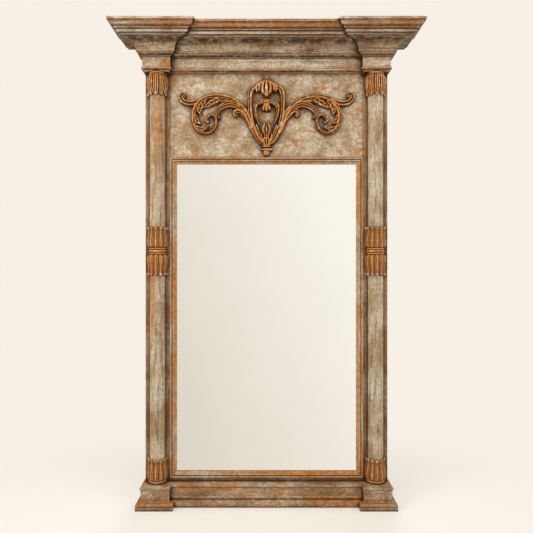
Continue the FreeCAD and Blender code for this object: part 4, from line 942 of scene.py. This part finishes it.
def leaf_radius(theta, rise, profile, leaves, ribs, depth, tip_reach):
    """The radius of a ring of leaves. Rise is 0 at the leaves' root and 1 at their tips, and the
    profile gives the radius at some of these heights."""
    belly = np.interp(rise, *np.array(profile).T)
    pitch = np.pi / leaves
    turn = (theta - np.pi / 2) / pitch
    seat = turn - np.round(turn)
    fullness = np.clip(1 - np.abs(2 * seat) ** 3.0, 0, 1)
    cleft = np.exp(-((np.abs(seat) - 0.5) / 0.11) ** 2)
    rib = 0.5 + 0.5 * np.cos(2 * np.pi * ribs * seat)
    body = belly - depth * cleft - 0.50 * depth * (1 - rib) ** 1.3 + 0.30 * depth * fullness
    curl = np.exp(-((rise - 0.90) / 0.055) ** 2) * np.exp(-(seat / 0.24) ** 2)
    body = body + 0.80 * depth * curl
    lobes = 1.0 - tip_reach * (1 - np.cos(2 * np.pi * seat)) / 2
    beyond = rise > lobes
    behind = beyond & (rise < 1.0 - 0.55 * tip_reach)
    body = np.where(behind, belly - 1.15 * depth, body)
    return np.where(beyond & ~behind, 0, body)


def build_sleeve(name, node, radius_at):
    """A carved sleeve on the front half of a column, from its radius at each angle and height."""
    low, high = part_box(node)
    centre_x = (low.x + high.x) / 2
    tall = (high.z - low.z) * MM_PER_METRE
    turns = np.linspace(0, np.pi, SLEEVE_ANGLES)
    levels = np.linspace(0, tall, int(tall / SLEEVE_STEP) + 1)
    angle, height = np.meshgrid(turns, levels)
    core = COLUMN_RADIUS * MM_PER_METRE - SLEEVE_BITE
    radius = np.maximum(radius_at(angle, height), core)
    padded = np.pad(radius, SLEEVE_PAD, mode="edge")
    inner = (slice(SLEEVE_PAD, -SLEEVE_PAD), slice(SLEEVE_PAD, -SLEEVE_PAD))
    relief = soften(padded, 0.6)[inner]
    wide = soften(padded, 3.0)[inner]
    # Hollow darkens the gaps between leaves and, through its raised base, the whole sleeve: glaze
    # and painted shade. Crest marks ridges for rubbed gilding and a painted highlight.
    sunk = np.clip(wide - radius, -0.35, 1) + 0.32
    hollow = np.clip(sunk + np.clip((core + 1.2 - radius) / 2, 0, 1) * 0.5, 0, 1)
    crest = np.clip((relief - wide) / 1.5 + 0.2, 0, 1)
    relief[[0, -1], :] = core
    x = centre_x + relief * np.cos(angle) / MM_PER_METRE
    y = COLUMN_AXIS_Y - relief * np.sin(angle) / MM_PER_METRE
    points = np.stack([x, y, low.z + height / MM_PER_METRE], -1).reshape(-1, 3)
    index = np.arange(angle.size).reshape(angle.shape)
    faces = np.stack([index[:-1, :-1], index[1:, :-1], index[1:, 1:], index[:-1, 1:]], -1)
    hang_carving(name, node, points, faces.reshape(-1, 4).tolist(), hollow, crest)


def ring_radius(height, foot, head, radius, fall):
    """A half-round ring between two heights, or nothing outside them."""
    share = (height - foot) / (head - foot) * 2 - 1
    bead = radius - fall * (1 - np.sqrt(np.clip(1 - share ** 2, 0, 1)))
    return np.where(np.abs(share) < 1, bead, 0)


# Each profile of a leaf is a run of (share of its length from the root, radius).
TULIP = [(0.0, 34.5), (0.06, 38.5), (0.16, 41.8), (0.30, 42.4), (0.50, 39.6), (0.70, 36.4),
         (0.84, 35.6), (0.92, 37.6), (1.0, 40.0)]
CAPITAL = [(0.0, 34.5), (0.07, 38.6), (0.18, 42.2), (0.34, 42.8), (0.55, 40.6), (0.74, 37.4),
           (0.88, 36.2), (0.95, 37.6), (1.0, 36.5)]
BASE_LEAVES = [(0.0, 37.6), (0.08, 40.2), (0.24, 42.2), (0.42, 40.8), (0.62, 36.8), (0.80, 34.2),
               (0.92, 35.0), (1.0, 37.2)]


def capital_radius(theta, height):
    """Leaves that hang down from under the capital's ring."""
    rise = np.clip(1 - height / CAPITAL_LEAF_LENGTH, 0, 1)
    leaves = leaf_radius(theta, rise, CAPITAL, 5, 3, 4.2, 0.15)
    leaves = np.where(height < CAPITAL_LEAF_LENGTH, leaves, 0)
    return np.maximum(leaves, ring_radius(height, 88, 95, 35.2, 2.2))


def middle_radius(theta, height):
    """Two tulips with their roots at three rings between them."""
    head = TULIP_LENGTH + RING_PITCH * len(RING_RADII)
    falling = np.clip(1 - height / TULIP_LENGTH, 0, 1)
    rising = np.clip((height - head) / TULIP_LENGTH, 0, 1)
    radius = np.where(height < TULIP_LENGTH, leaf_radius(theta, falling, TULIP, 6, 2, 4.2, 0.14), 0)
    upper = np.where(height > head, leaf_radius(theta, rising, TULIP, 6, 2, 4.2, 0.14), 0)
    radius = np.maximum(radius, upper)
    for index, ring in enumerate(RING_RADII):
        foot = TULIP_LENGTH + RING_PITCH * index
        radius = np.maximum(radius, ring_radius(height, foot + 0.5, foot + 9.1, ring, 2.4))
    return radius


def base_radius(theta, height):
    """Leaves that stand up from the base ring."""
    rise = np.clip((height - BASE_LEAF_FOOT) / BASE_LEAF_LENGTH, 0, 1)
    leaves = leaf_radius(theta, rise, BASE_LEAVES, 6, 2, 4.4, 0.13)
    leaves = np.where(height > BASE_LEAF_FOOT, leaves, 0)
    return np.maximum(leaves, ring_radius(height, 0.3, 11.6, 37.0, 2.6))


for side in ("left", "right"):
    build_sleeve(side + "_capital_leaves", side + "_capital", capital_radius)
    build_sleeve(side + "_middle_tulips", side + "_middle_collar", middle_radius)
    build_sleeve(side + "_base_leaves", side + "_base_collar", base_radius)


# --------------------------------------------------------------------------- floor, light, camera

FLOOR_LIFT = 0.235
FILL_LEVEL = 0.30
FLOOR_CORNERS = [(-9, -9, 0), (9, -9, 0), (9, 14, 0), (-9, 14, 0)]
MIDDLE = (0.0, 0.0, 0.95)
# Each soft box has its place, the point that it faces, its width and height, and its watts.
SOFTBOXES = {
    "left_softbox": ((-2.1, -1.5, 1.7), MIDDLE, (1.1, 2.0), 35),
    "right_softbox": ((2.1, -1.5, 1.7), MIDDLE, (1.1, 2.0), 22),
    "top_softbox": ((0.0, -1.3, 3.2), (0.0, 0.1, 1.3), (2.4, 1.0), 22),
    "back_softbox": ((0.5, 2.7, 2.0), (0.0, 0.1, 1.0), (1.8, 1.8), 34),
}


def shown_rays(tree):
    """Two masks: rays that show the studio, in the picture or in a shine, and those in a shine."""
    rays = put(tree, "LightPath").outputs
    glossy = rays["Is Glossy Ray"]
    seen = either(tree, rays["Is Camera Ray"], glossy)
    return either(tree, seen, rays["Is Transmission Ray"]), glossy


def studio_shade(tree, slant, glossy):
    """The background's colour. In a shine it is brighter, and dimmer again low on the left."""
    dim = put(tree, "Math", {0: 0.37, 1: slant}, operation="SUBTRACT", use_clamp=True).outputs[0]
    dim = both(tree, dim, glossy)
    bright = lay_over(tree, glossy, BACKGROUND, STUDIO_BRIGHT)
    return lay_over(tree, dim, bright, STUDIO_DIM)


def make_floor():
    """A pale floor that keeps the mirror's shadow and fades into the background further out."""
    material, tree, shader, place = new_finish("pale studio floor")
    cloud = speckle(tree, place, 0.7, 2.0, 0.5)
    colour = lay_over(tree, cloud, FLOOR_LIGHT, FLOOR_SHADE)
    tree.links.new(colour, shader.inputs["Base Color"])
    shader.inputs["Roughness"].default_value = 0.85
    set_bump(tree, shader, speckle(tree, place, 90.0, 4.0, 0.6), 0.0004, 0.2)
    seen, _ = shown_rays(tree)
    far = stretch(tree, place, (0.75, 1.0, 0.0))
    radius = put(tree, "VectorMath", {0: far}, operation="LENGTH").outputs["Value"]
    away = both(tree, seen, fade(tree, radius, 0.25, 1.25))
    glow = put(tree, "Emission", {"Color": BACKGROUND, "Strength": 1.0})
    lift = put(tree, "Emission", {"Color": BACKGROUND,
                                  "Strength": both(tree, seen, FLOOR_LIFT)})
    lit = put(tree, "AddShader", {0: shader.outputs[0], 1: lift.outputs[0]})
    blend = put(tree, "MixShader", {0: away, 1: lit.outputs[0], 2: glow.outputs[0]})
    tree.links.new(blend.outputs[0], tree.nodes["Material Output"].inputs["Surface"])
    mesh = bpy.data.meshes.new("studio_floor")
    mesh.from_pydata(FLOOR_CORNERS, [], [(0, 1, 2, 3)])
    floor = bpy.data.objects.new("studio_floor", mesh)
    bpy.context.scene.collection.objects.link(floor)
    mesh.materials.append(material)
    floor.visible_glossy = False


def make_surroundings():
    """The background that the camera, metal and glass show, and a plain weak light for the rest."""
    world = bpy.data.worlds.new("pale studio")
    bpy.context.scene.world = world
    world.use_nodes = True
    tree = world.node_tree
    seen, glossy = shown_rays(tree)
    parts = parts_of(tree, put(tree, "TexCoord").outputs["Generated"])
    rise = put(tree, "Math", {0: parts["Z"], 1: 0.96}, operation="MULTIPLY").outputs[0]
    slant = put(tree, "Math", {0: parts["X"], 1: 2.2, 2: rise}, operation="MULTIPLY_ADD").outputs[0]
    light = lay_over(tree, seen, FILL_WHITE, studio_shade(tree, slant, glossy))
    background = tree.nodes["Background"]
    tree.links.new(light, background.inputs["Color"])
    strength = fade(tree, seen, 0.0, 1.0, FILL_LEVEL, 1.0)
    tree.links.new(strength, background.inputs["Strength"])


def hang_softbox(name, place, aim, size, watts):
    """A soft rectangular lamp that faces a point and doesn't show in the glass."""
    lamp = bpy.data.lights.new(name, "AREA")
    lamp.shape = "RECTANGLE"
    lamp.size, lamp.size_y = size
    lamp.energy = watts
    lamp.color = (1.0, 0.985, 0.96)
    stand = bpy.data.objects.new(name, lamp)
    bpy.context.scene.collection.objects.link(stand)
    stand.location = place
    stand.rotation_euler = (Vector(aim) - Vector(place)).to_track_quat("-Z", "Y").to_euler()
    stand.visible_glossy = False


make_floor()
make_surroundings()
for name, settings in SOFTBOXES.items():
    hang_softbox(name, *settings)

lens = bpy.data.cameras.new("photo_camera")
lens.sensor_width = SENSOR_WIDTH
lens.lens = FOCAL_PIXELS / PHOTO_WIDTH * SENSOR_WIDTH
camera = bpy.data.objects.new("photo_camera", lens)
bpy.context.scene.collection.objects.link(camera)
camera.location = (0.0, BACK_Y - CAMERA_DISTANCE, CAMERA_HEIGHT)
camera.rotation_euler = (math.radians(90), 0.0, 0.0)
bpy.context.scene.camera = camera
bpy.context.scene.view_settings.view_transform = "Standard"
